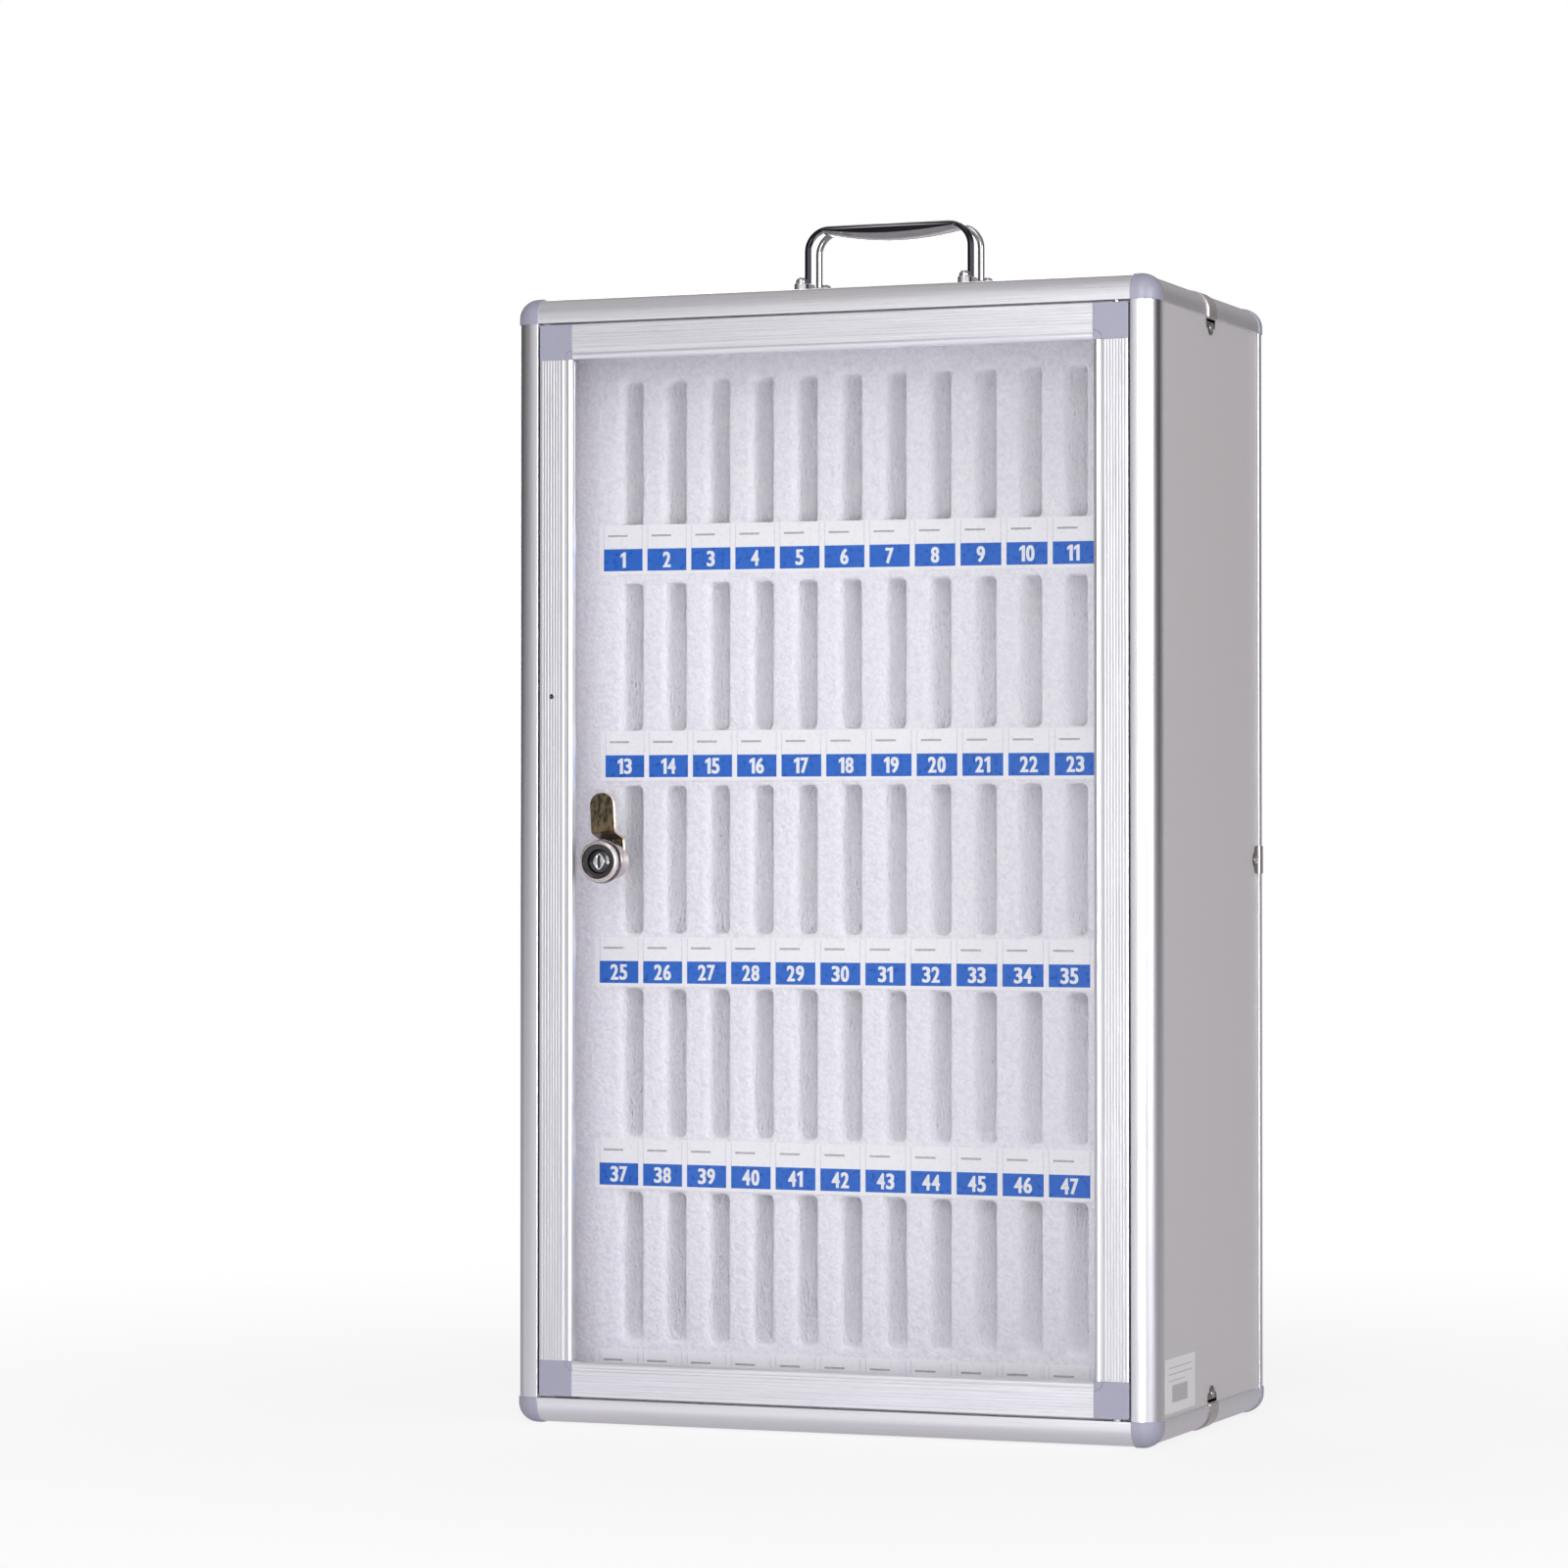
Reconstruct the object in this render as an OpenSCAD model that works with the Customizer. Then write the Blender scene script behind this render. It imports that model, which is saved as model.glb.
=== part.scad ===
// Cell phone locker box: an aluminium-edged case with a glazed, locking front door,
// a slotted foam block that holds the phones on edge, and a carrying handle on top.
// Millimetres. Inside the modules X runs right from the left face, Y runs back from the
// front face and Z runs up from the underside of the edge profiles. in_place() then moves
// every piece so that the origin is the middle of the footprint, on the surface the case
// stands on.

/* [Case] */
// Width over the edge profiles
body_w = 358; // [330:2:420]
// Depth over the edge profiles
body_d = 204; // [180:2:260]
// Height over the edge profiles
body_h = 600; // [540:5:700]

/* [Edge profiles] */
// Side of the square that the profile fills
edge_size = 13.5; // [12.5:0.5:15]
// Radius of the profile's rounded outer corner
edge_round = 10; // [6:0.5:11]
// How far a panel reaches into its slot
slot_reach = 5.5; // [4:0.5:5.5]
// Skin on the inner side of a panel slot
slot_skin = 1.2; // [0.8:0.1:2]
// Where the hollow at the profile's inner corner starts
relief_from = 9.2; // [9.1:0.1:11]
// How far a corner connector stands proud of the profiles
corner_proud = 0.6; // [0.2:0.1:1.5]
// Radius of the connector pins in the profiles' chambers
tenon_r = 2.2; // [1.5:0.1:2.2]
// Distance of those pins from both outer faces
tenon_in = 6.6; // [6.5:0.1:6.7]
// Length of those pins
tenon_len = 14; // [6:1:25]

/* [Panels] */
// Thickness of the five panels
panel_t = 3; // [2:0.2:3]
// How far a panel's face lies below the profile's face
panel_recess = 1.2; // [0.8:0.1:1.2]

/* [Door] */
// Gap all round the closed door
door_gap = 1; // [0.7:0.1:2]
// Thickness of the door frame
door_t = 9; // [8:0.5:10]
// Width of a door frame member
member_w = 19; // [18:0.5:24]
// Width of its ribbed band
rib_band = 14; // [13:0.5:15]
// Number of fine grooves in the band
groove_n = 7; // [3:1:8]
// Distance between the grooves
groove_pitch = 1.6; // [1.2:0.1:1.7]
// Width of a groove
groove_w = 0.7; // [0.4:0.1:0.9]
// Depth of a groove
groove_deep = 0.4; // [0.2:0.1:0.8]
// Radius of the rounded bead beside the pane
bead_r = 2.3; // [1.8:0.1:2.4]
// Thickness of the clear pane
pane_t = 2.6; // [2:0.1:3]
// Depth of the pane's front face behind the door's front
pane_y = 4; // [3.6:0.1:4.2]
// How far the pane reaches into the members
pane_reach = 6.4; // [4:0.2:6.6]
// Radius of the small hole in the lock stile
stile_hole_r = 1; // [0.5:0.1:2]
// Height of that hole above the lock
stile_hole_up = 88; // [40:1:200]

/* [Door stop] */
// Gap between the closed door and its stop
stop_gap = 0.3; // [0.2:0.1:1]
// Thickness of the stop lip
stop_t = 1.5; // [1:0.1:1.6]
// How far the lip stands into the opening
stop_reach = 4.5; // [3:0.5:8]

/* [Hinge] */
// Radius of the hinge pins
hinge_r = 1.5; // [1:0.1:1.8]
// Distance of the pins from the door's edge
hinge_in = 7; // [6:0.5:9]
// Depth of the pins behind the door's front
hinge_y = 2.8; // [2.6:0.1:3.2]
// Length of a pin inside the door
hinge_deep = 11; // [6:1:16]
// Length of a pin inside the frame
hinge_root = 4.2; // [2:0.2:4.2]
// Radius of the collar that carries the door
collar_r = 2.6; // [2.2:0.1:2.7]

/* [Lock] */
// Distance of the lock's axis from the door's left edge
lock_in = 33.2; // [32:0.1:60]
// How far the lock lies below the middle of the case
lock_down = 1; // [-60:1:60]
// Radius of the ring in front of the pane
ring_r = 11; // [10:0.5:14]
// Thickness of the ring
ring_t = 2.5; // [1.5:0.1:3.5]
// Radius of the barrel
barrel_r = 9.4; // [9.2:0.1:9.8]
// Length of the barrel behind the pane's front face
barrel_len = 18; // [15:1:24]
// Radius of the turning plug
plug_r = 6.5; // [5:0.1:7]
// Radius of the dished mouth in front of the plug
mouth_r = 9.2; // [7.5:0.1:9.6]
// Depth of that mouth
mouth_deep = 1.6; // [0.5:0.1:2.2]
// Radius of the washer
washer_r = 11.8; // [11:0.1:13]
// Thickness of the washer
washer_t = 1; // [0.5:0.1:1.5]
// Width of the nut across its flats
nut_flats = 22; // [21:0.5:24]
// Thickness of the nut
nut_t = 4; // [3:0.5:6]

/* [Cam] */
// Width of the cam
cam_w = 14.5; // [10:0.5:16]
// Thickness of the cam
cam_t = 1.5; // [1:0.1:2]
// Reach of the cam's tip from the lock's axis
cam_reach = 37.5; // [33:0.5:38]
// Where the cam's crank starts
crank_from = 14.8; // [14.5:0.1:17]
// How much further out the crank ends
crank_run = 2.4; // [0:0.2:5]
// Gap between the cam and the stop lip that it locks behind
cam_gap = 0.5; // [0.3:0.1:1.5]
// Lean of the unlocked cam towards the left post
cam_lean = 8; // [0:1:20]
// Radius of the screw that holds the cam
cam_screw_r = 2; // [1.5:0.1:3]
// Radius of that screw's head
cam_head_r = 4.2; // [3.5:0.1:6]
// Height of that screw's head
cam_head_h = 3; // [2:0.5:4]
// Length of that screw in the plug
cam_screw_deep = 8; // [4:1:12]

/* [Foam] */
// Depth of the foam's front face behind the front of the case
foam_y = 66; // [50:1:80]
// Thickness of the foam sheet behind the slots
foam_back_t = 10; // [5:1:20]
// Gap between the foam and the panels
foam_gap = 0.4; // [0.3:0.1:0.8]
// Number of slots in a row
slot_n = 12; // [4:1:12]
// Distance between the slots
slot_pitch = 25.4; // [18:0.2:26]
// Width of a slot
slot_w = 12; // [8:0.5:15]
// Height of a slot
slot_h = 80; // [60:1:82]
// Height of the lowest slots' floor above the case's underside, and as much at the top
end_board = 39.2; // [28:0.4:60]

/* [Labels] */
// Height of a label strip
label_h = 27; // [20:0.5:28]
// Thickness of a label strip
label_t = 0.3; // [0.2:0.1:0.6]
// Strip that each end has beyond the outer slots' middles
label_over = 13.6; // [12:0.2:16]
// Height of the blank sticker on the right panel
sticker_h = 28; // [15:1:40]
// Length of that sticker
sticker_w = 52; // [30:1:80]
// Distance of that sticker from the front of the case
sticker_y = 19.5; // [16:0.5:60]
// Gap between that sticker and the bottom profile
sticker_up = 2; // [1:0.5:20]

/* [Handle] */
// Distance between the middles of the handle's legs
handle_span = 93.6; // [80:0.2:130]
// Height of the bars' middle above the top panel
handle_h = 43.5; // [38:0.5:60]
// Radius of a bar
bar_r = 2; // [1.5:0.1:2.6]
// Half the distance between the two bars
bar_half = 8.5; // [6:0.5:14]
// Radius of the bars' bends
bend_r = 12; // [8:0.5:16]
// Thickness of the grip in its middle
grip_t = 9.5; // [6:0.5:12]
// How far the grip's middle hangs below the bars' middle
grip_drop = 2.3; // [1:0.1:3]
// How far the grip stands out in front of and behind the bars
grip_out = 1.5; // [0.5:0.1:3]
// Height of the feet
foot_h = 13.5; // [6:0.5:16]
// Half the width of a foot
foot_r = 4; // [3.8:0.1:5]
// Distance of the foot screws from the handle's middle line
foot_screw_y = 21; // [19:0.5:26]
// Radius of the foot screws
foot_screw_r = 2; // [1.5:0.1:2.2]
// Radius of their heads
foot_head_r = 3.6; // [3:0.1:3.7]
// Height of their heads
foot_head_h = 3.1; // [2:0.1:4]
// Width of their nuts across the flats
foot_nut_flats = 7; // [6.5:0.5:9]
// Thickness of their nuts
foot_nut_t = 3.2; // [2:0.2:5]

/* [Edge clips] */
// Width of a clip
clip_w = 15; // [12:1:24]
// Thickness of a clip and how far it stands out
clip_t = 0.6; // [0.2:0.1:0.6]
// Reach of a clip's ear past the profile
ear_reach = 9.3; // [8:0.1:14]
// Distance of the rivet past the profile
rivet_out = 5.2; // [4.6:0.1:6]
// Radius of a rivet's shank
rivet_r = 1.3; // [1:0.1:1.6]
// Radius of a rivet's head
rivet_head_r = 2.2; // [1.8:0.1:3]
// Height of a rivet's head
rivet_head_h = 0.6; // [0.4:0.1:1.2]

/* [Fits] */
// Clearance of a panel or a pane in its slot, each side
slide_fit = 0.1; // [0.05:0.05:0.2]
// Clearance of a fixed pin or screw in its hole, each side
pin_fit = 0.05; // [0.02:0.01:0.1]
// Clearance of a turning shaft in its bore, each side
turn_fit = 0.05; // [0.02:0.01:0.1]

/* [Hidden] */
$fn = 48;
rows = 5;
// Overlap that keeps a cut's faces apart from the solid's own
cut = 1;

// Panels
panel_face = panel_recess + panel_t;
panel_edge = edge_size - slot_reach + slide_fit;
notch = edge_size + slide_fit;
slot_arm = panel_face + slide_fit + slot_skin;

// Door stop and door
stop_y = door_t + stop_gap;
stop_end = stop_y + stop_t;
door_x = edge_size + door_gap;
door_w = body_w - 2 * door_x;
door_h = body_h - 2 * door_x;
pane_edge = member_w - pane_reach;
web_t = 1.3;
chamber_x = 1.6;
chamber_w = pane_edge - slide_fit - web_t - chamber_x;
chamber_y = groove_deep + web_t;
chamber_h = door_t - web_t - chamber_y;
corner_tenon = 12;

// Hinge: the door's back corner sweeps a circle of swing_r about the pins
hinge_x = door_x + door_w - hinge_in;
swing_r = sqrt(pow(hinge_in, 2) + pow(door_t - hinge_y, 2));
lip_end = hinge_x - swing_r - 1;
lip_start = edge_size + stop_reach + slide_fit;
collar_gap = 0.05;

// Lock
lock_x = door_x + lock_in;
lock_z = body_h / 2 - lock_down;
barrel_end = pane_y + barrel_len;
ring_y = pane_y - ring_t;
face_y = ring_y + mouth_deep;
cam_lift = 0.1;
cam_y = barrel_end + cam_lift;
tongue_y = stop_end + cam_gap;
cam_back = cam_y + cam_t;
key_slot = [1.4, 1.5, 7];

// Foam
foam_in = panel_face + foam_gap;
foam_clear = edge_size + 0.7;
foam_end = body_d - foam_in - foam_back_t;
foam_deep = foam_end - foam_y;
slots_w = (slot_n - 1) * slot_pitch + slot_w;
slots_x = (body_w - slots_w) / 2;
rows_z = end_board;
rows_h = body_h - 2 * end_board;
row_pitch = (rows_h - slot_h) / (rows - 1);
bar_h = row_pitch - slot_h;

// Labels: the strips were stuck on by hand, so each row has its own place.
// For rows 1 to 5 from the top: shift to the left, and drop below the slots' bottom.
label_left = [4.5, 4.5, 6.9, 6.9, 6.9];
label_drop = [0.4, 1.5, 2.8, 2.4, 6.5];

// Handle
top_z = body_h - panel_recess;
bar_z = top_z + handle_h;
mid_x = body_w / 2;
mid_y = body_d / 2;
grip_len = handle_span - 2 * bend_r;
grip_half = bar_half + bar_r + grip_out;
nut_pocket = 12;
nut_pocket_deep = foot_nut_t + 2;

// Colours
aluminium = [0.84, 0.84, 0.86];
connector = [0.68, 0.70, 0.80];
panel_grey = [0.72, 0.71, 0.71];
foam_white = [0.93, 0.93, 0.97];
bright = [0.80, 0.80, 0.83];

// Placing and mirroring

module in_place() {
    translate([-body_w / 2, -body_d / 2, corner_proud]) children();
}

// The same shape, measured from the right face, the back face or the top
module from_right(yes = true) {
    translate([yes ? body_w : 0, 0, 0]) mirror([yes ? 1 : 0, 0, 0]) children();
}

module from_back(yes = true) {
    translate([0, yes ? body_d : 0, 0]) mirror([0, yes ? 1 : 0, 0]) children();
}

module from_top(yes = true) {
    translate([0, 0, yes ? body_h : 0]) mirror([0, 0, yes ? 1 : 0]) children();
}

// A flat section stood up along each axis, from start to the same distance off the far end
module along_x(start) {
    translate([start, 0, 0]) rotate([90, 0, 90]) linear_extrude(body_w - 2 * start) children();
}

module along_y(start) {
    translate([0, body_d - start, 0]) rotate([90, 0, 0])
        linear_extrude(body_d - 2 * start) children();
}

module along_z(start) {
    translate([0, 0, start]) linear_extrude(body_h - 2 * start) children();
}

// Edge profiles

// Square with its outer corner rounded, grown outwards by extra
module round_square(extra) {
    intersection() {
        translate([-extra, -extra]) square(edge_size + extra);
        union() {
            translate([edge_round, edge_round]) circle(r = edge_round + extra);
            translate([edge_round, -extra]) square(edge_size + extra);
            translate([-extra, edge_round]) square(edge_size + extra);
        }
    }
}

// Slot for the panel that lies along the second axis
module panel_slot() {
    translate([panel_recess - slide_fit, edge_size - slot_reach])
        square([panel_t + 2 * slide_fit, slot_reach + cut]);
}

module tenon_chamber() {
    translate([tenon_in, tenon_in]) circle(r = tenon_r + pin_fit);
}

// Profile of the side, top and back edges, with a slot for each of its two panels
module edge_section() {
    difference() {
        round_square(0);
        panel_slot();
        mirror([1, -1]) panel_slot();
        tenon_chamber();
        translate([relief_from, relief_from]) square(edge_size);
    }
}

// Profile of the front edges: one panel slot, and a flat wall towards the door.
// The first axis runs from the outer face towards the door, the second runs back.
module front_section() {
    difference() {
        intersection() {
            round_square(0);
            union() {
                square([edge_size, stop_end]);
                square([slot_arm, edge_size]);
            }
        }
        panel_slot();
        tenon_chamber();
    }
}

module stop_lip() {
    translate([edge_size - slot_skin, stop_y]) square([stop_reach + slot_skin, stop_t]);
}

module front_post(lip) {
    along_z(edge_size) union() {
        front_section();
        if (lip) stop_lip();
    }
}

// The lip ends short of the hinge, where the door's back corner swings through
module front_rail() {
    difference() {
        union() {
            along_x(edge_size) mirror([1, -1]) front_section();
            translate([lip_start, 0, 0]) rotate([90, 0, 90])
                linear_extrude(lip_end - lip_start) mirror([1, -1]) stop_lip();
        }
        translate([hinge_x, hinge_y, edge_size - hinge_root - pin_fit])
            cylinder(r = hinge_r + pin_fit, h = hinge_root + cut);
    }
}

module aluminium_piece() {
    color(aluminium) in_place() children();
}

module front_rail_bottom() { aluminium_piece() front_rail(); }
module front_rail_top() { aluminium_piece() from_top() front_rail(); }
module front_post_left() { aluminium_piece() front_post(true); }
module front_post_right() { aluminium_piece() from_right() front_post(false); }
module side_rail(right, top) {
    aluminium_piece() from_right(right) from_top(top) along_y(edge_size) edge_section();
}
module back_rail(top) {
    aluminium_piece() from_back() from_top(top) along_x(edge_size) edge_section();
}
module back_post(right) {
    aluminium_piece() from_back() from_right(right) along_z(edge_size) edge_section();
}
module side_rail_bottom_left() { side_rail(false, false); }
module side_rail_bottom_right() { side_rail(true, false); }
module side_rail_top_left() { side_rail(false, true); }
module side_rail_top_right() { side_rail(true, true); }
module back_rail_bottom() { back_rail(false); }
module back_rail_top() { back_rail(true); }
module back_post_left() { back_post(false); }
module back_post_right() { back_post(true); }

// Corner connectors

// One rounded pillar of the connector, upright, as tall as the connector
module corner_pillar() {
    translate([0, 0, -corner_proud]) linear_extrude(edge_size + corner_proud)
        round_square(corner_proud);
}

module corner_tenon_pin() {
    translate([tenon_in, tenon_in, edge_size - cut]) cylinder(r = tenon_r, h = tenon_len + cut);
}

module corner_connector(right, back, top) {
    color(connector) in_place() from_right(right) from_back(back) from_top(top) union() {
        intersection() {
            corner_pillar();
            rotate([90, 0, 90]) corner_pillar();
            rotate([-90, 0, 0]) mirror([0, 1, 0]) corner_pillar();
            translate([edge_round, edge_round, edge_round]) union() {
                sphere(r = edge_round + corner_proud);
                for (turn = [[0, 0, 0], [0, 90, 0], [-90, 0, 0]])
                    rotate(turn) cylinder(r = edge_round + corner_proud, h = edge_size);
                for (axis = [[1, 0, 0], [0, 1, 0], [0, 0, 1]])
                    translate(-axis * (edge_round + corner_proud))
                        cube(edge_size * [1, 1, 1] + axis * edge_round);
            }
        }
        corner_tenon_pin();
        rotate([90, 0, 90]) corner_tenon_pin();
        rotate([-90, 0, 0]) mirror([0, 1, 0]) corner_tenon_pin();
    }
}

module corner_front_bottom_left() { corner_connector(false, false, false); }
module corner_front_bottom_right() { corner_connector(true, false, false); }
module corner_front_top_left() { corner_connector(false, false, true); }
module corner_front_top_right() { corner_connector(true, false, true); }
module corner_back_bottom_left() { corner_connector(false, true, false); }
module corner_back_bottom_right() { corner_connector(true, true, false); }
module corner_back_top_left() { corner_connector(false, true, true); }
module corner_back_top_right() { corner_connector(true, true, true); }

// Panels

// A sheet of the given size with its corners notched for the connectors
module notched(size_a, size_b) {
    step = notch - panel_edge;
    union() {
        translate([panel_edge, notch]) square([size_a - 2 * panel_edge, size_b - 2 * notch]);
        translate([notch, panel_edge]) square([size_a - 2 * notch, size_b - 2 * panel_edge]);
    }
}

module side_sheet() {
    translate([panel_recess, 0, 0]) rotate([90, 0, 90]) linear_extrude(panel_t)
        notched(body_d, body_h);
}

module level_sheet() {
    translate([0, 0, panel_recess]) linear_extrude(panel_t) notched(body_w, body_d);
}

module panel() {
    color(panel_grey) in_place() difference() {
        children();
        clip_places() rivet_shanks(rivet_r + pin_fit, panel_face + cut);
    }
}

module left_panel() { panel() side_sheet(); }
module right_panel() { panel() from_right() side_sheet(); }
module bottom_panel() { panel() level_sheet(); }
module back_panel() {
    panel() from_back() translate([0, panel_face, 0]) rotate([90, 0, 0])
        linear_extrude(panel_t) notched(body_w, body_h);
}
module top_panel() {
    panel() difference() {
        from_top() level_sheet();
        foot_places() translate([0, 0, -panel_t - cut])
            cylinder(r = foot_screw_r + pin_fit, h = panel_t + 2 * cut);
    }
}

// Edge clips

// The six places of a clip: the four edges that run back, and the two back posts
module clip_places() {
    for (right = [false, true]) {
        for (top = [false, true])
            from_right(right) from_top(top) translate([0, mid_y, 0]) rotate([90, 0, 0])
                children();
        from_right(right) from_back() translate([0, 0, body_h / 2]) children();
    }
}

// Both faces of a clip: its ear lies on the panel past the profile
module both_faces() {
    children();
    mirror([1, -1, 0]) children();
}

module clip_ear() {
    lobe_r = rivet_head_r + 1.8;
    side_r = 3;
    difference() {
        union() {
            translate([edge_size, -clip_t, -clip_w / 2])
                cube([clip_t, clip_t + panel_recess, clip_w]);
            translate([0, panel_recess - clip_t, 0]) rotate([-90, 0, 0]) linear_extrude(clip_t) {
                translate([edge_size + ear_reach - lobe_r, 0]) circle(r = lobe_r);
                for (side = [-1, 1])
                    translate([edge_size + side_r, side * (clip_w / 2 - side_r)])
                        circle(r = side_r);
                translate([edge_size, -clip_w / 2]) square([side_r, clip_w]);
            }
        }
        rivet_shank(rivet_r + pin_fit, panel_face + cut);
    }
}

module edge_clips() {
    color(bright) in_place() clip_places() union() {
        translate([0, 0, -clip_w / 2]) linear_extrude(clip_w) difference() {
            round_square(clip_t);
            round_square(0);
        }
        both_faces() clip_ear();
    }
}

// A rivet's shank, from the top of the ear inwards
module rivet_shank(r, deep) {
    translate([edge_size + rivet_out, panel_recess - clip_t, 0]) rotate([-90, 0, 0])
        translate([0, 0, -cut]) cylinder(r = r, h = deep + cut);
}

module rivet_shanks(r, deep) {
    both_faces() rivet_shank(r, deep);
}

module clip_rivets() {
    color(bright) in_place() clip_places() both_faces()
        translate([edge_size + rivet_out, panel_recess - clip_t, 0]) rotate([-90, 0, 0])
            union() {
                cylinder(r = rivet_r, h = clip_t + panel_t);
                translate([0, 0, -rivet_head_h])
                    cylinder(r1 = rivet_head_r * 0.6, r2 = rivet_head_r, h = rivet_head_h);
            }
}

// Foam

module foam_box(x, z, w, h) {
    translate([x, foam_y, z]) cube([w, foam_deep, h]);
}

module foam_back_sheet() {
    color(foam_white) in_place() translate([foam_clear, foam_end, foam_clear])
        cube([body_w - 2 * foam_clear, foam_back_t, body_h - 2 * foam_clear]);
}

// Level boards: the lowest and the highest reach the panels between the edge profiles
module foam_shelves() {
    color(foam_white) in_place() difference() {
        union() {
            foam_box(foam_clear, foam_in, body_w - 2 * foam_clear, rows_z - foam_in);
            for (i = [1 : rows - 1])
                foam_box(foam_in, rows_z + i * row_pitch - bar_h, body_w - 2 * foam_in, bar_h);
            foam_box(foam_clear, rows_z + rows_h, body_w - 2 * foam_clear,
                body_h - foam_in - rows_z - rows_h);
        }
        foot_places() translate([-nut_pocket / 2, -nut_pocket / 2, -panel_t - nut_pocket_deep])
            cube([nut_pocket, nut_pocket, nut_pocket_deep]);
    }
}

// Upright boards of one row, counted from the top: two wide ends and the ribs between slots
module foam_dividers(row) {
    z = rows_z + (rows - row) * row_pitch;
    color(foam_white) in_place() {
        foam_box(foam_in, z, slots_x - foam_in, slot_h);
        for (i = [1 : slot_n - 1])
            foam_box(slots_x + i * slot_pitch - slot_pitch + slot_w, z,
                slot_pitch - slot_w, slot_h);
        foam_box(slots_x + slots_w, z, slots_x - foam_in, slot_h);
    }
}

module foam_dividers_row_1() { foam_dividers(1); }
module foam_dividers_row_2() { foam_dividers(2); }
module foam_dividers_row_3() { foam_dividers(3); }
module foam_dividers_row_4() { foam_dividers(4); }
module foam_dividers_row_5() { foam_dividers(5); }

// Labels

module label_strips() {
    color([0.95, 0.95, 0.97]) in_place()
        for (row = [1 : rows])
            translate([slots_x + slot_w / 2 - label_left[row - 1] - label_over,
                    foam_y - label_t,
                    rows_z + (rows - row) * row_pitch - label_drop[row - 1] - label_h])
                cube([(slot_n - 1) * slot_pitch + 2 * label_over, label_t, label_h]);
}

module side_sticker() {
    sticker_t = 0.2;
    color([0.97, 0.97, 0.97]) in_place()
        translate([body_w - panel_recess, sticker_y, edge_size + sticker_up])
            cube([sticker_t, sticker_w, sticker_h]);
}

// Handle

// The four foot screws' places, on the top panel's face
module foot_places() {
    for (x = [-1, 1], y = [-1, 1])
        translate([mid_x + x * handle_span / 2, mid_y + y * foot_screw_y, top_z]) children();
}

// One bar, its middle at the origin of X and Y
module handle_bar() {
    leg = handle_h - bend_r;
    for (side = [-1, 1]) {
        translate([side * handle_span / 2, 0, 0]) cylinder(r = bar_r, h = leg);
        translate([side * (handle_span / 2 - bend_r), 0, leg])
            rotate([90, 0, 0]) rotate([0, 0, side > 0 ? 0 : 90])
                rotate_extrude(angle = 90) translate([bend_r, 0]) circle(r = bar_r);
    }
    translate([-grip_len / 2, 0, handle_h]) rotate([0, 90, 0])
        cylinder(r = bar_r, h = grip_len);
}

// The grip between and around the bars: arched above and below, and oval from above
module handle_grip() {
    rise = grip_t / 2;
    arch_r = (pow(grip_len / 2, 2) + pow(rise, 2)) / (2 * rise);
    plan_r = (pow(grip_len / 2, 2) + pow(grip_half, 2)) / (2 * grip_half);
    intersection() {
        translate([0, 0, handle_h - grip_drop]) intersection_for(side = [-1, 1])
            translate([0, 0, side * (arch_r - rise)]) rotate([90, 0, 0])
                cylinder(r = arch_r, h = 4 * grip_half, center = true, $fn = 180);
        intersection_for(side = [-1, 1])
            translate([0, side * (plan_r - grip_half), handle_h - 2 * grip_t])
                cylinder(r = plan_r, h = 4 * grip_t, $fn = 180);
    }
}

module handle_foot() {
    linear_extrude(foot_h) {
        translate([0, bar_half]) circle(r = foot_r);
        translate([0, foot_screw_y]) circle(r = foot_r);
        translate([-foot_r, bar_half]) square([2 * foot_r, foot_screw_y - bar_half]);
    }
}

module handle() {
    color(bright) in_place() difference() {
        translate([mid_x, mid_y, top_z]) union() {
            for (side = [-1, 1]) translate([0, side * bar_half, 0]) handle_bar();
            handle_grip();
            for (x = [-1, 1], y = [0, 1])
                translate([x * handle_span / 2, 0, 0]) mirror([0, y, 0]) handle_foot();
        }
        foot_places() translate([0, 0, -cut])
            cylinder(r = foot_screw_r + pin_fit, h = foot_h + 2 * cut);
    }
}

module handle_screws() {
    stud = foot_h + panel_t + foot_nut_t + 1;
    color(bright) in_place() foot_places() union() {
        translate([0, 0, foot_h - stud]) cylinder(r = foot_screw_r, h = stud);
        translate([0, 0, foot_h])
            cylinder(r1 = foot_head_r, r2 = foot_head_r * 0.7, h = foot_head_h);
    }
}

module hex_nut(flats, thick, bore) {
    difference() {
        cylinder(r = flats / 2 / cos(30), h = thick, $fn = 6);
        translate([0, 0, -cut]) cylinder(r = bore, h = thick + 2 * cut);
    }
}

module handle_nuts() {
    color(bright) in_place() foot_places()
        translate([0, 0, -panel_t - foot_nut_t])
            hex_nut(foot_nut_flats, foot_nut_t, foot_screw_r + pin_fit);
}

// Door

// Section of a door frame member: the first axis runs from the door's outer edge towards
// the pane, the second runs back from the door's front
module member_section() {
    first = (rib_band - (groove_n - 1) * groove_pitch) / 2;
    back_lip = member_w - 1.5;
    difference() {
        union() {
            square([rib_band, door_t]);
            translate([member_w - bead_r, bead_r]) circle(r = bead_r);
            translate([rib_band - cut, bead_r / 2])
                square([member_w - bead_r - rib_band + cut, pane_y]);
            translate([rib_band - cut, pane_y])
                square([back_lip - rib_band + cut, door_t - pane_y]);
        }
        translate([pane_edge - slide_fit, pane_y - slide_fit])
            square([member_w, pane_t + 2 * slide_fit]);
        translate([chamber_x, chamber_y]) square([chamber_w, chamber_h]);
        for (i = [0 : groove_n - 1])
            translate([first + i * groove_pitch - groove_w / 2, -cut])
                square([groove_w, groove_deep + cut]);
    }
}

module door_rail() {
    translate([door_x + member_w, 0, door_x]) rotate([90, 0, 90])
        linear_extrude(door_w - 2 * member_w) mirror([1, -1]) member_section();
}

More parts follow.
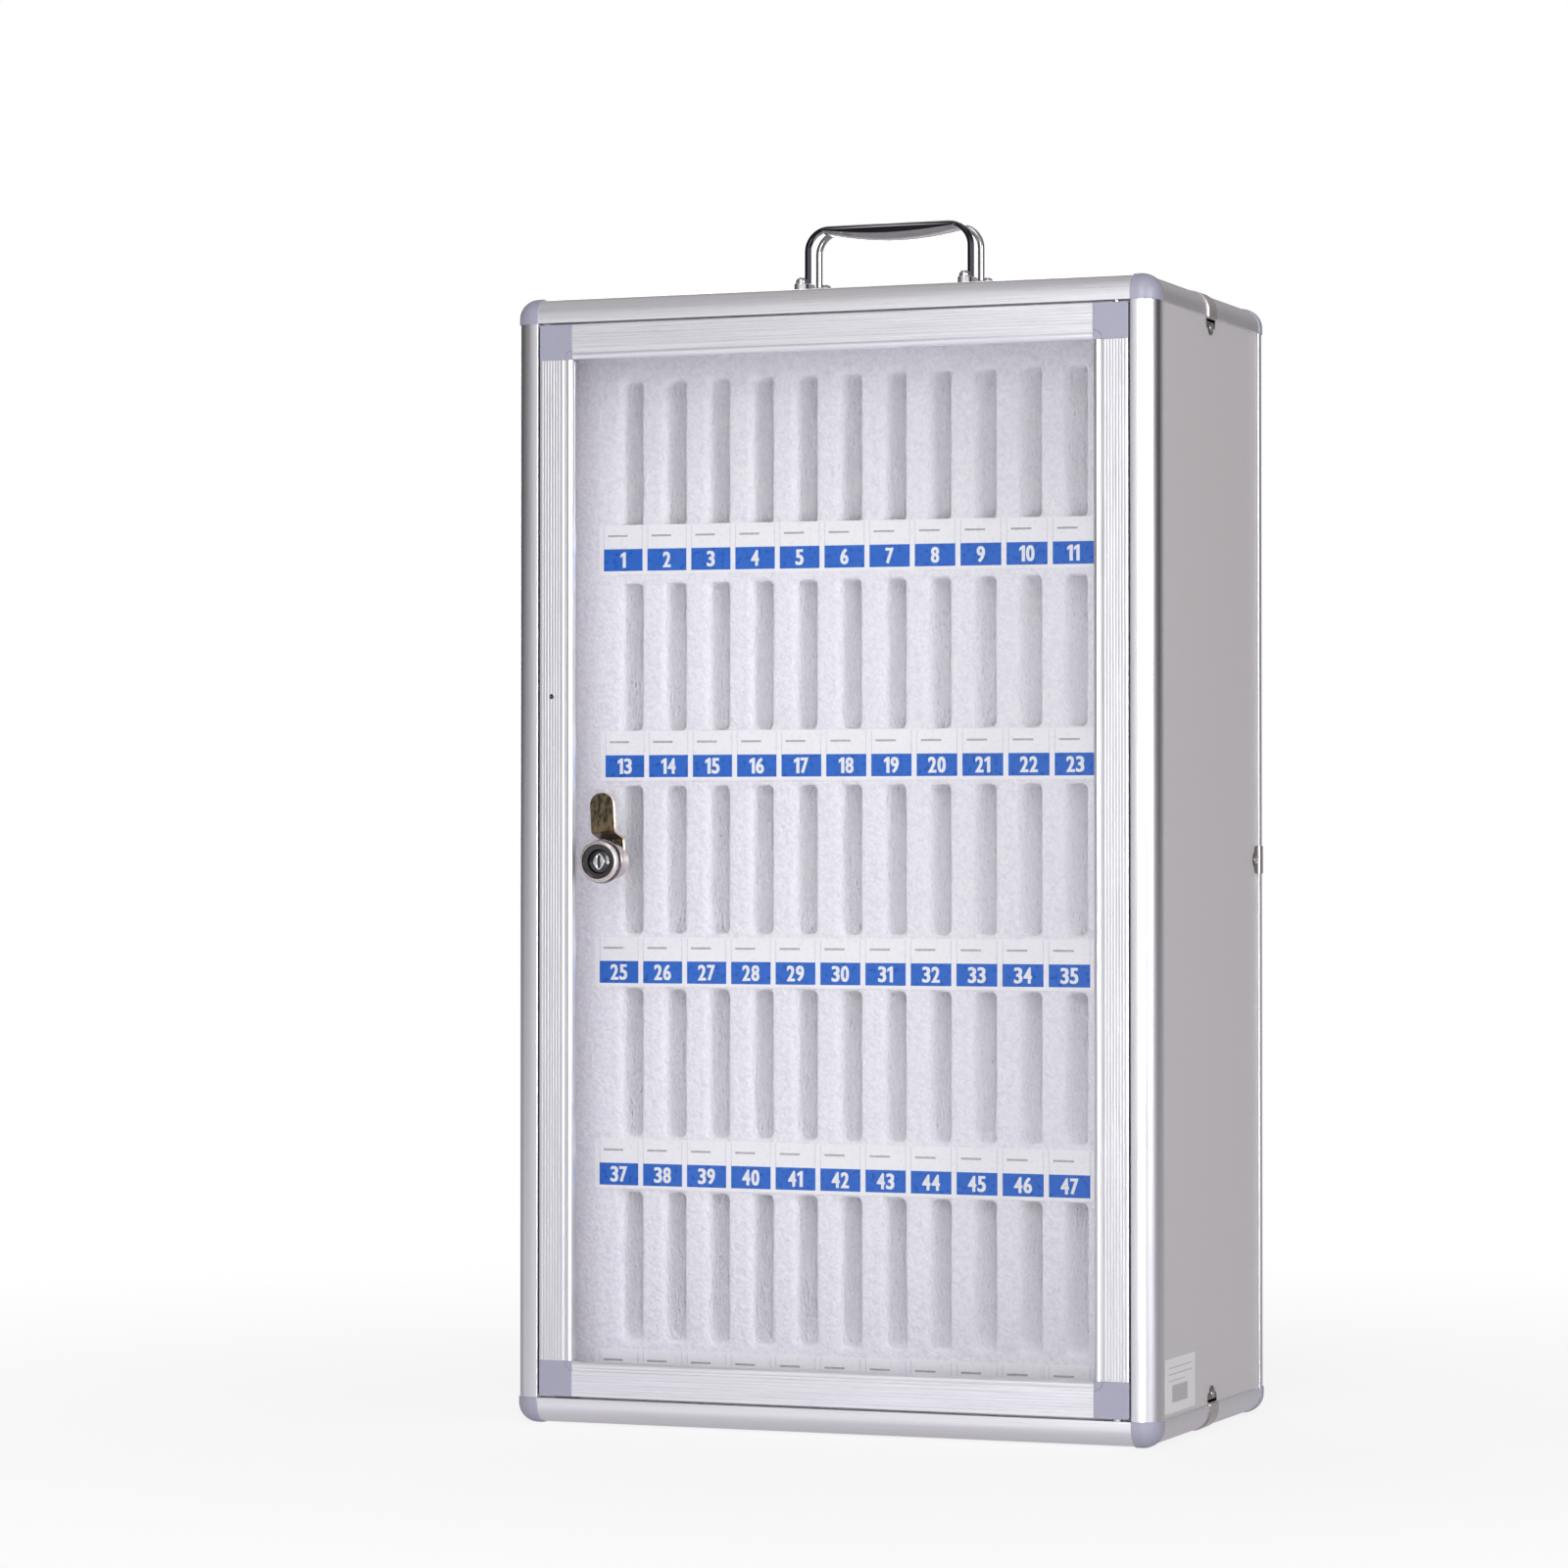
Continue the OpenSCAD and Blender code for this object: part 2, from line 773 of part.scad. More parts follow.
module door_stile() {
    translate([door_x, 0, door_x + member_w])
        linear_extrude(door_h - 2 * member_w) member_section();
}

module door_rail_bottom() { aluminium_piece() door_rail(); }
module door_rail_top() { aluminium_piece() from_top() door_rail(); }
module door_stile_hinge() { aluminium_piece() from_right() door_stile(); }
module door_stile_lock() {
    aluminium_piece() difference() {
        door_stile();
        translate([door_x + rib_band / 2, -cut, lock_z + stile_hole_up]) rotate([-90, 0, 0])
            cylinder(r = stile_hole_r, h = chamber_y + 2 * cut);
    }
}

// Tenon of a door corner, along X, in the chamber of the member beside it
module door_tenon() {
    translate([member_w - cut, chamber_y + slide_fit, chamber_x + slide_fit])
        cube([corner_tenon + cut, chamber_h - 2 * slide_fit, chamber_w - 2 * slide_fit]);
}

module door_corner(right, top) {
    arc_r = member_w - rib_band;
    color(connector) in_place() from_right(right) from_top(top)
        translate([door_x, 0, door_x]) difference() {
            union() {
                cube([member_w, door_t, member_w]);
                door_tenon();
                mirror([1, 0, -1]) door_tenon();
            }
            translate([pane_edge - slide_fit, pane_y - slide_fit, pane_edge - slide_fit])
                cube([member_w, pane_t + 2 * slide_fit, member_w]);
            translate([member_w, -cut, member_w]) rotate([-90, 0, 0])
                cylinder(r = arc_r, h = groove_deep + cut);
            if (right)
                translate([hinge_in, hinge_y, -cut])
                    cylinder(r = hinge_r + turn_fit, h = hinge_deep + 2 * cut);
        }
}

module door_corner_bottom_left() { door_corner(false, false); }
module door_corner_bottom_right() { door_corner(true, false); }
module door_corner_top_left() { door_corner(false, true); }
module door_corner_top_right() { door_corner(true, true); }

module door_pane() {
    inset = door_x + pane_edge;
    color([0.85, 0.92, 0.97, 0.35]) in_place() difference() {
        translate([inset, pane_y, inset])
            cube([body_w - 2 * inset, pane_t, body_h - 2 * inset]);
        lock_axis(pane_y - cut) cylinder(r = barrel_r + slide_fit, h = pane_t + 2 * cut);
    }
}

// Hinge pins: pressed into the frame's rails, turning in the door's corners

module hinge_pin(collar) {
    color(bright) in_place() from_top(!collar) translate([hinge_x, hinge_y, edge_size]) union() {
        translate([0, 0, -hinge_root]) cylinder(r = hinge_r,
            h = hinge_root + door_gap + hinge_deep);
        if (collar) cylinder(r = collar_r, h = door_gap - collar_gap);
    }
}

module hinge_pin_bottom() { hinge_pin(true); }
module hinge_pin_top() { hinge_pin(false); }

// Lock: everything is drawn along the lock's axis, which runs back from the front

module lock_axis(y) {
    translate([lock_x, y, lock_z]) rotate([-90, 0, 0]) children();
}

module lock_body() {
    color(bright) in_place() lock_axis(0) difference() {
        union() {
            translate([0, 0, ring_y]) cylinder(r = ring_r, h = ring_t);
            translate([0, 0, pane_y]) cylinder(r = barrel_r, h = barrel_len);
        }
        translate([0, 0, ring_y - cut]) cylinder(r = plug_r + turn_fit,
            h = ring_t + barrel_len + 2 * cut);
        translate([0, 0, ring_y])
            cylinder(r1 = mouth_r, r2 = plug_r + turn_fit, h = mouth_deep);
    }
}

module lock_washer() {
    color(bright) in_place() lock_axis(pane_y + pane_t) difference() {
        cylinder(r = washer_r, h = washer_t);
        translate([0, 0, -cut]) cylinder(r = barrel_r + pin_fit, h = washer_t + 2 * cut);
    }
}

module lock_nut() {
    color(bright) in_place() lock_axis(pane_y + pane_t + washer_t)
        rotate([0, 0, 30]) hex_nut(nut_flats, nut_t, barrel_r + pin_fit);
}

module lock_plug() {
    color([0.2, 0.2, 0.22]) in_place() lock_axis(0) difference() {
        translate([0, 0, face_y]) cylinder(r = plug_r, h = cam_y - face_y);
        translate([-key_slot[0] / 2, -key_slot[2] / 2, face_y - cut])
            cube([key_slot[0], key_slot[2], key_slot[1] + cut]);
        translate([0, 0, cam_y - cam_screw_deep - pin_fit])
            cylinder(r = cam_screw_r + pin_fit, h = cam_screw_deep + cut);
    }
}

// The cam seen from its edge, in the plane of its reach and its depth: the base lies
// behind the barrel, and the crank brings the tongue forward to just behind the stop lip
module cam_edge() {
    polygon([
        [-cam_w, cam_y], [crank_from, cam_y], [crank_from + crank_run, tongue_y],
        [cam_reach, tongue_y], [cam_reach, tongue_y + cam_t],
        [crank_from + crank_run + cam_t, tongue_y + cam_t],
        [crank_from + cam_t, cam_back], [-cam_w, cam_back]
    ]);
}

// The cam seen along the lock's axis, pointing up
module cam_face() {
    tip_r = 6;
    circle(r = cam_w / 2);
    translate([-cam_w / 2, 0]) square([cam_w, cam_reach - tip_r]);
    translate([-cam_w / 2 + tip_r, 0]) square([cam_w - 2 * tip_r, cam_reach]);
    for (side = [-1, 1])
        translate([side * (cam_w / 2 - tip_r), cam_reach - tip_r]) circle(r = tip_r);
}

module lock_cam() {
    color([0.62, 0.53, 0.36]) in_place()
        translate([lock_x, 0, lock_z]) rotate([0, -cam_lean, 0]) difference() {
            intersection() {
                translate([-cam_w / 2, 0, 0]) rotate([90, 0, 90]) linear_extrude(cam_w)
                    mirror([1, -1]) cam_edge();
                rotate([90, 0, 0]) linear_extrude(4 * cam_back, center = true) cam_face();
            }
            rotate([-90, 0, 0]) cylinder(r = cam_screw_r + pin_fit, h = cam_back + cut);
        }
}

module cam_screw() {
    color(bright) in_place() lock_axis(0) union() {
        translate([0, 0, cam_y - cam_screw_deep])
            cylinder(r = cam_screw_r, h = cam_screw_deep + cam_t);
        translate([0, 0, cam_back]) cylinder(r = cam_head_r, h = cam_head_h);
    }
}

front_rail_top();
front_rail_bottom();
front_post_left();
front_post_right();
side_rail_top_left();
side_rail_top_right();
side_rail_bottom_left();
side_rail_bottom_right();
back_rail_top();
back_rail_bottom();
back_post_left();
back_post_right();
corner_front_bottom_left();
corner_front_bottom_right();
corner_front_top_left();
corner_front_top_right();
corner_back_bottom_left();
corner_back_bottom_right();
corner_back_top_left();
corner_back_top_right();
top_panel();
bottom_panel();
left_panel();
right_panel();
back_panel();
edge_clips();
clip_rivets();
foam_back_sheet();
foam_shelves();
foam_dividers_row_1();
foam_dividers_row_2();
foam_dividers_row_3();
foam_dividers_row_4();
foam_dividers_row_5();
label_strips();
side_sticker();
handle();
handle_screws();
handle_nuts();
door_rail_top();
door_rail_bottom();
door_stile_lock();
door_stile_hinge();
door_corner_top_left();
door_corner_top_right();
door_corner_bottom_left();
door_corner_bottom_right();
door_pane();
hinge_pin_top();
hinge_pin_bottom();
lock_body();
lock_washer();
lock_nut();
lock_plug();
lock_cam();
cam_screw();
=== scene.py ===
"""Cell phone locker box: the finish of every surface, and the camera, light and floor.

Shapes are drawn in the case's own millimetres: X to the right from its left face, Y back
from its front face and Z up from the underside of its edge profiles. place() turns them
into metres in the frame.
"""
import math

import bmesh
import bpy
from mathutils import Matrix, Vector, noise

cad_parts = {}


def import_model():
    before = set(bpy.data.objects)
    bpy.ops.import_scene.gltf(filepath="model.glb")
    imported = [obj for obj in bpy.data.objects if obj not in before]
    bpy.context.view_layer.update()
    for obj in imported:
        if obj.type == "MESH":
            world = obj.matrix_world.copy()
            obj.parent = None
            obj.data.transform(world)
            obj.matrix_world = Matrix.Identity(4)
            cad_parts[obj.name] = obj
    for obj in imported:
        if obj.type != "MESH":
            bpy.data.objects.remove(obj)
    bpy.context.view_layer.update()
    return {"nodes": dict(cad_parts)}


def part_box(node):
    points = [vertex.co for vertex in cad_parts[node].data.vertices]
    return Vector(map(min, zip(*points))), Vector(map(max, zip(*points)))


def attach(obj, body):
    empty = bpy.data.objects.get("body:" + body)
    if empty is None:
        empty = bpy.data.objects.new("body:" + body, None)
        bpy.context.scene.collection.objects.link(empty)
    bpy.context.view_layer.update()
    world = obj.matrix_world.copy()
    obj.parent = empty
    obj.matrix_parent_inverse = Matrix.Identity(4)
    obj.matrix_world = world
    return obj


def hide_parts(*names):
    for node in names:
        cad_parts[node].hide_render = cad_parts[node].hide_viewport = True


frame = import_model()
NODES = frame["nodes"]
MM = 0.001

# Places and sizes that the frame gives

POST_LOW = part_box("front_post_left")[0]
ORIGIN = Vector((POST_LOW.x, POST_LOW.y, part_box("front_rail_bottom")[0].z))


def place(point):
    """A point in the case's millimetres, in metres in the frame."""
    return ORIGIN + Vector(point) * MM


def box_mm(node):
    """The lowest and highest corner of a node in the case's millimetres."""
    low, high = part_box(node)
    return (low - ORIGIN) / MM, (high - ORIGIN) / MM


def middle_mm(node):
    low, high = box_mm(node)
    return (low + high) / 2


CASE_W = box_mm("front_post_right")[1].x
CASE_D = box_mm("back_post_right")[1].y
CASE_H = box_mm("front_rail_top")[1].z
CASE = {"x": CASE_W, "y": CASE_D, "z": CASE_H}
EDGE = box_mm("front_post_left")[0].z
PANEL_FACE = box_mm("left_panel")[0].x
PANEL_INSIDE = box_mm("left_panel")[1].x
LIP_END = box_mm("front_post_left")[1].x
PROUD = -box_mm("corner_front_bottom_left")[0].x
STILE_LOW, STILE_HIGH = box_mm("door_stile_lock")
DOOR_X = STILE_LOW.x
DOOR_T = STILE_HIGH.y
MEMBER_W = STILE_HIGH.x - STILE_LOW.x
PANE_FRONT = box_mm("door_pane")[0].y
PANE_BACK = box_mm("door_pane")[1].y

# Sizes that the frame's boxes don't show

EDGE_ROUND = 10.0
SLOT_FLOOR = 8.0
STOP_Y = 9.3
LIP_BACK = 10.8
SLOT_ARM = 5.5
RELIEF = 9.2
# From the hinge's axis to where the rails' stop lips end
HINGE_ROOM = 10.36
RIB_BAND = 14.0
GROOVES = 7
GROOVE_PITCH = 1.6
GROOVE_W = 0.5
GROOVE_DEEP = 0.25
BEAD_R = 2.3
BEAD_DIP = 0.6
# The small hole in the lock stile, and how far above the lock it is
HOLE_R = 1.35
HOLE_UP = 88
SLOTS = 12
ROWS = 5
SLOT_PITCH = 25.4
SLOT_W = 12.0
SLOT_ROUND = 3.0
SLOTS_W = (SLOTS - 1) * SLOT_PITCH + SLOT_W
FIRST_SLOT = (CASE_W - SLOTS_W) / 2
# Depths of the rings of points down a slot's wall, and the radius of the foam's soft edges
SLOT_DEPTHS = (6, 9, 13, 18, 24, 32, 60)
FOAM_SOFT = 3.4
FOAM_LEAN = (1.4, 4.0)
FOAM_LEAN_DEPTH = 18
# Depth down a slot over which the walls' colour turns lighter than the face, as painted light
FOAM_WALL_LIGHT_DEPTH = 4

SIDES = (("left", False), ("right", True))
LEVELS = (("bottom", False), ("top", True))
CORNERS = [(level + "_" + side, top, right) for level, top in LEVELS for side, right in SIDES]


# Meshes


class Shape:
    """Points and faces that are gathered for one piece. Each face has a material number."""

    def __init__(self):
        self.points = []
        self.faces = []
        self.marks = []

    def add(self, points, faces, mark=0):
        base = len(self.points)
        self.points += [tuple(p) for p in points]
        self.faces += [tuple(base + i for i in face) for face in faces]
        self.marks += [mark] * len(faces)
        return self

    def prism(self, outline, start, end, put, mark=0):
        """The outline's (a, b) points drawn out from start to end, each placed by put."""
        n = len(outline)
        points = [put(a, b, s) for s in (start, end) for a, b in outline]
        faces = [(i, (i + 1) % n, n + (i + 1) % n, n + i) for i in range(n)]
        faces += [tuple(reversed(range(n))), tuple(range(n, 2 * n))]
        return self.add(points, faces, mark)

    def loft(self, rings, caps=True, marks=None):
        """Closed rings of equal length joined one to the next, each step with its mark."""
        n, base = len(rings[0]), len(self.points)
        marks = marks or [0] * (len(rings) - 1)
        self.add([p for ring in rings for p in ring], [])
        for k, mark in enumerate(marks):
            low = base + k * n
            high = low + n
            self.faces += [(low + i, low + (i + 1) % n, high + (i + 1) % n, high + i)
                           for i in range(n)]
            self.marks += [mark] * n
        if caps:
            last = base + (len(rings) - 1) * n
            self.faces += [tuple(base + i for i in reversed(range(n))),
                           tuple(last + i for i in range(n))]
            self.marks += [marks[0], marks[-1]]
        return self

    def lathe(self, profile, centre, turn, sides=72, caps=True, marks=None):
        """(radius, along) points spun about a line through centre; turn lays Z along it."""
        rings = [[Vector(centre) + turn @ Vector((*(way * radius), along))
                  for way in ring_ways(sides)] for radius, along in profile]
        return self.loft(rings, caps, marks)


def ring_ways(sides):
    """Ways out from a centre, evenly all round."""
    turns = [2 * math.pi * i / sides for i in range(sides)]
    return [Vector((math.cos(t), math.sin(t))) for t in turns]


def corner_arc(centre, radius, start, end, steps):
    """Points of an arc from start to end, in degrees."""
    turns = [math.radians(start + (end - start) * i / steps) for i in range(steps + 1)]
    return [(centre[0] + radius * math.cos(t), centre[1] + radius * math.sin(t)) for t in turns]


def line(start, end, steps):
    """Points from start to end, with both."""
    return [(start[0] + (end[0] - start[0]) * i / steps, start[1] + (end[1] - start[1]) * i / steps)
            for i in range(steps + 1)]


def rounded(points, steps=4):
    """A closed outline. A point's third number is the radius that its corner gets."""
    out = []
    for i, point in enumerate(points):
        corner = Vector(point[:2])
        if len(point) < 3:
            out.append(tuple(corner))
            continue
        radius = point[2]
        before = (Vector(points[i - 1][:2]) - corner).normalized()
        after = (Vector(points[(i + 1) % len(points)][:2]) - corner).normalized()
        half = before.angle(after) / 2
        centre = corner + (before + after).normalized() * radius / math.sin(half)
        first = corner + before * radius / math.tan(half) - centre
        last = corner + after * radius / math.tan(half) - centre
        start = math.degrees(math.atan2(first.y, first.x))
        sweep = math.degrees(math.atan2(last.y, last.x)) - start
        sweep = (sweep + 180) % 360 - 180
        count = max(steps, round(abs(sweep) * radius / 60))
        out += corner_arc(centre, radius, start, start + sweep, count)
    return out


def made_mesh(obj):
    """The mesh of an object as its modifiers or its curve make it."""
    graph = bpy.context.evaluated_depsgraph_get()
    return bpy.data.meshes.new_from_object(obj.evaluated_get(graph))


def finish_mesh(obj, sharp, weld=0):
    """Points nearer than weld joined, faces outwards, smooth shading, and sharp edges above
    the given angle."""
    work = bmesh.new()
    work.from_mesh(obj.data)
    if weld:
        bmesh.ops.remove_doubles(work, verts=work.verts, dist=weld * MM)
    bmesh.ops.recalc_face_normals(work, faces=work.faces)
    work.to_mesh(obj.data)
    work.free()
    obj.data.shade_smooth()
    obj.data.set_sharp_from_angle(angle=math.radians(sharp))


def scene_object(name, data):
    obj = bpy.data.objects.new(name, data)
    bpy.context.scene.collection.objects.link(obj)
    return obj


def new_object(name, shape, materials):
    """A mesh object in the scene with the shape's points, faces and materials."""
    mesh = bpy.data.meshes.new(name)
    mesh.from_pydata([place(p) for p in shape.points], [], shape.faces)
    for material in materials:
        mesh.materials.append(material)
    mesh.polygons.foreach_set("material_index", shape.marks)
    return scene_object(name, mesh)


def piece(name, shape, body, materials, replaces=(), sharp=32, bevel=0, weld=0):
    """An object of the scene that rides on a body and stands for the named nodes."""
    obj = new_object(name, shape, materials)
    finish_mesh(obj, sharp, weld)
    if bevel:
        modifier = obj.modifiers.new("edges", "BEVEL")
        modifier.width = bevel * MM
        modifier.segments = 2
        modifier.limit_method = "ANGLE"
        modifier.angle_limit = math.radians(sharp)
        modifier.harden_normals = False
    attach(obj, body)
    if replaces:
        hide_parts(*replaces)
    return obj


def section_put(axis, right=False, back=False, top=False):
    """Places a section: its first axis runs inwards from the side face, its second from
    the front or back face, and on the rails the first runs inwards from the level face."""

    def put(a, b, along):
        x, y, z = {"x": (along, b, a), "y": (a, along, b), "z": (a, b, along)}[axis]
        return (CASE_W - x if right else x, CASE_D - y if back else y, CASE_H - z if top else z)

    return put


# Materials


def node_tree(name):
    """A material, its nodes and its shader."""
    material = bpy.data.materials.new(name)
    material.use_nodes = True
    tree = material.node_tree
    return material, tree, tree.nodes["Principled BSDF"]


def empty_tree(owner, kind="Material"):
    """The emptied nodes of a material or world, and the socket that its shader goes to."""
    owner.use_nodes = True
    tree = owner.node_tree
    tree.nodes.clear()
    return tree, tree.nodes.new("ShaderNodeOutput" + kind).inputs["Surface"]


def fill(tree, new, values):
    """Fills a node's inputs: an output of another node is linked, and a value is set."""
    for key, value in values.items():
        socket = new.inputs[key]
        if hasattr(value, "links"):
            tree.links.new(value, socket)
        elif socket.type == "RGBA":
            socket.default_value = (*value, 1)
        else:
            socket.default_value = value


def node(tree, kind, values, out=0, **settings):
    """Adds a node with these inputs and settings, and gives one of its outputs."""
    new = tree.nodes.new("ShaderNode" + kind)
    for name, value in settings.items():
        setattr(new, name, value)
    fill(tree, new, values)
    return new.outputs[out]


def grain(tree, size, detail=3.0, kind="noise"):
    """A pattern of cells of the given size in millimetres, one for all axes or three."""
    sizes = size if isinstance(size, tuple) else (size, size, size)
    spot = node(tree, "Mapping", {
        "Vector": node(tree, "TexCoord", {}, "Object"), "Scale": [1 / (s * MM) for s in sizes]})
    if kind == "cells":
        return node(tree, "TexVoronoi", {"Vector": spot, "Scale": 1.0}, "Distance",
                    feature="SMOOTH_F1")
    return node(tree, "TexNoise", {"Vector": spot, "Scale": 1.0, "Detail": detail}, "Fac")


def math_node(tree, operation, *values, clamp=False):
    return node(tree, "Math", dict(enumerate(values)), operation=operation, use_clamp=clamp)


def spread(tree, value, low, high, from_low=0.3, from_high=0.7):
    """The pattern's values mapped to a range."""
    return node(tree, "MapRange", {"Value": value, "From Min": from_low, "From Max": from_high,
                                   "To Min": low, "To Max": high}, "Result")


def blend_colour(tree, fac, first, second):
    return node(tree, "Mix", {"Factor": fac, "A": first, "B": second}, "Result", data_type="RGBA")


def mix_shader(tree, share, first, second):
    return node(tree, "MixShader", {0: share, 1: first, 2: second})


def parts(tree, vector):
    """The outputs X, Y and Z of a vector."""
    split = tree.nodes.new("ShaderNodeSeparateXYZ")
    tree.links.new(vector, split.inputs[0])
    return split.outputs


def bump(tree, height, relief, under=None, **settings):
    """A normal that follows the height, with relief in millimetres, laid over another."""
    values = {"Height": height, "Distance": relief * MM}
    if under is not None:
        values["Normal"] = under
    return node(tree, "Bump", values, "Normal", **settings)


def shade(colour, factor):
    return tuple(min(1, c * factor) for c in colour)


def surface(name, colour, rough, metal=0.0, size=2, tint=0.02, rough_range=0.05,
            relief=0.002, detail=3.0, coat=0.0):
    """A material whose colour, roughness and relief vary with one grain."""
    material, tree, shader = node_tree(name)
    pattern = grain(tree, size, detail)
    fac = spread(tree, pattern, 0, 1)
    fill(tree, shader, {
        "Base Color": blend_colour(tree, fac, shade(colour, 1 - tint), shade(colour, 1 + tint)),
        "Roughness": spread(tree, pattern, rough - rough_range, rough + rough_range),
        "Normal": bump(tree, pattern, relief),
        "Metallic": metal, "Coat Weight": coat, "Coat Roughness": 0.08})
    return material


STREAK = {"x": (60, 0.5, 0.5), "y": (0.5, 60, 0.5), "z": (0.5, 0.5, 60)}
# Painted shade and light on one aluminium: the upright profiles and door stiles are painted darker,
# and the level ones along X a little lighter, than those along Y
PAINTED_LIGHT_BY_AXIS = {"x": 1.03, "y": 1.0, "z": 0.86}
ANODISED = {
    axis: surface("edge_aluminium_" + axis, shade((0.85, 0.845, 0.885), PAINTED_LIGHT_BY_AXIS[axis]), 0.30, 1.0,
                  STREAK[axis], tint=0.03, rough_range=0.04, relief=0.005)
    for axis in "xyz"
}
RIBBED = {
    axis: surface("door_aluminium_" + axis, shade((0.855, 0.848, 0.89), PAINTED_LIGHT_BY_AXIS[axis]), 0.32, 1.0,
                  STREAK[axis], tint=0.05, rough_range=0.06, relief=0.007)
    for axis in "xz"
}
CONNECTOR = surface("corner_plastic", (0.345, 0.345, 0.435), 0.36, size=0.6, tint=0.03,
                    relief=0.015)
PANEL = surface("panel_skin", (0.61, 0.58, 0.60), 0.42, size=0.8, relief=0.01, detail=5)
CHROME = surface("chrome", (0.74, 0.74, 0.77), 0.08, 1.0, 3, rough_range=0.03, relief=0.01)
ZINC = surface("bright_steel", (0.55, 0.54, 0.55), 0.22, 1.0, 1.2, tint=0.08,
               rough_range=0.08, relief=0.01)
ROSE_CHROME = surface("lock_chrome", (0.60, 0.53, 0.51), 0.22, 0.85, tint=0.10,
                      rough_range=0.08, relief=0.02)
WORN_CHROME = surface("lock_side", (0.66, 0.57, 0.56), 0.34, 0.2, tint=0.12,
                      rough_range=0.10, relief=0.03)
# Near-black metal: a painted dark reflection on the lock's dished mouth and plug, and painted shade
# in the stile's hole, the key slot and the screws' cross recesses
PAINTED_DARK_METAL = surface("lock_face_painted_dark", (0.035, 0.035, 0.038), 0.16, 0.7, 1.5, tint=0.3,
                     rough_range=0.04, relief=0.01, coat=0.8)
# The cam's edges: a pale cream colour that is a painted highlight
CAM_EDGE_HIGHLIGHT = surface("cam_edge", (0.80, 0.68, 0.56), 0.3, 0.4, tint=0.12, rough_range=0.08,
                   relief=0.02)
# The clips' ears: far darker than the straps, which are the same steel, as a painted dark
# reflection
CLIP_EAR_PAINTED_DARK = surface("clip_ear", (0.13, 0.12, 0.12), 0.2, 1.0, 1.5, tint=0.3,
                    rough_range=0.08, relief=0.03)
CLIP_STEEL = surface("clip_steel", (0.50, 0.47, 0.46), 0.14, 1.0, 1.5, tint=0.12,
                     rough_range=0.06, relief=0.02)
FILM = surface("label_film", (0.93, 0.902, 0.925), 0.3, tint=0.012, relief=0.004)
PAPER = surface("sticker_paper", (0.82, 0.80, 0.82), 0.45, relief=0.006)
BLUE_INK = surface("label_blue", (0.012, 0.125, 0.56), 0.3, size=3, tint=0.08, relief=0.003)
WHITE_INK = surface("label_white", (0.88, 0.88, 0.90), 0.3, size=3)
GREY_INK = surface("label_grey", (0.45, 0.45, 0.48), 0.4, tint=0.15)
FIELD_GREY = surface("sticker_field", (0.50, 0.48, 0.50), 0.45, tint=0.08)
PALE_INK = surface("label_pale", (0.62, 0.64, 0.74), 0.4, tint=0.08)
FOAM_WHITES = ((0.865, 0.825, 0.92), (0.97, 0.935, 0.995), (0.99, 0.98, 0.995))
# The face's colour as a share of the walls' colour: the walls are lighter as painted light in the
# slots
FOAM_FACE_DIMMED = 0.91


def foam_material():
    """White closed-cell foam: a mottle of cells, each slightly domed. The walls of its slots are
    painted lighter than its face, as painted light in the slots."""
    material, tree, shader = node_tree("foam")
    cells = grain(tree, 1.7, kind="cells")
    mottle = grain(tree, 4, detail=6)
    patches = spread(tree, mottle, 0, 1)
    sparks = spread(tree, cells, 0, 1, 0.55, 0.15)

    def whites(factor):
        low, high, spark = [shade(colour, factor) for colour in FOAM_WHITES]
        return blend_colour(tree, sparks, blend_colour(tree, patches, low, high), spark)

    # cut: 0 on the face, 1 down the slots' walls, whose colour is painted lighter as painted light
    cut = node(tree, "Attribute", {}, "Fac", attribute_name="cut")
    fill(tree, shader, {
        "Base Color": blend_colour(tree, cut, whites(FOAM_FACE_DIMMED), whites(1.0)),
        "Roughness": 0.72,
        "Normal": bump(tree, mottle, 1.0, under=bump(tree, cells, 0.30, invert=True))})
    return material


def pane_material():
    """Clear acrylic: it lets light straight through and mirrors more at a slant."""
    material = bpy.data.materials.new("clear_pane")
    tree, shown = empty_tree(material)
    clear = node(tree, "BsdfTransparent", {"Color": (0.975, 0.98, 0.985)})
    smear = spread(tree, grain(tree, 30), 0.02, 0.06)
    mirror = node(tree, "BsdfGlossy", {"Color": (0.95, 0.95, 1.0), "Roughness": smear})
    slant = node(tree, "LayerWeight", {"Blend": 0.5}, "Facing")
    share = math_node(tree, "MULTIPLY_ADD", math_node(tree, "POWER", slant, 5), 0.9, 0.010)
    tree.links.new(mix_shader(tree, share, clear, mirror), shown)
    return material


def bar_chrome():
    """Chrome with a painted dark reflection: a dark line along the bars where their sides face
    level, weaker on faces turned to the right and on the rear bar.
    """
    material, tree, shader = node_tree("handle_chrome")
    normal = parts(tree, node(tree, "NewGeometry", {}, "Normal"))
    spot = parts(tree, node(tree, "NewGeometry", {}, "Position"))
    # Mask of the painted dark reflection
    level = math_node(tree, "ABSOLUTE", math_node(tree, "SUBTRACT", normal["Z"], 0.06))
    reflection_band = spread(tree, level, 1, 0, 0.46, 0.62)
    right = spread(tree, normal["X"], 1, 0.35, 0.75, 0.95)
    rear = spread(tree, spot["Y"], 1, 0.55, 0.0, 0.004)
    painted_reflection = math_node(tree, "MULTIPLY", math_node(tree, "MULTIPLY", reflection_band, right), rear)
    wear = grain(tree, 4, detail=4)
    plain = blend_colour(tree, spread(tree, wear, 0, 1), (0.70, 0.69, 0.73), (0.78, 0.77, 0.80))
    fill(tree, shader, {
        "Base Color": blend_colour(tree, painted_reflection, plain, (0.022, 0.022, 0.028)),
        "Roughness": spread(tree, wear, 0.07, 0.13), "Metallic": 1.0})
    return material


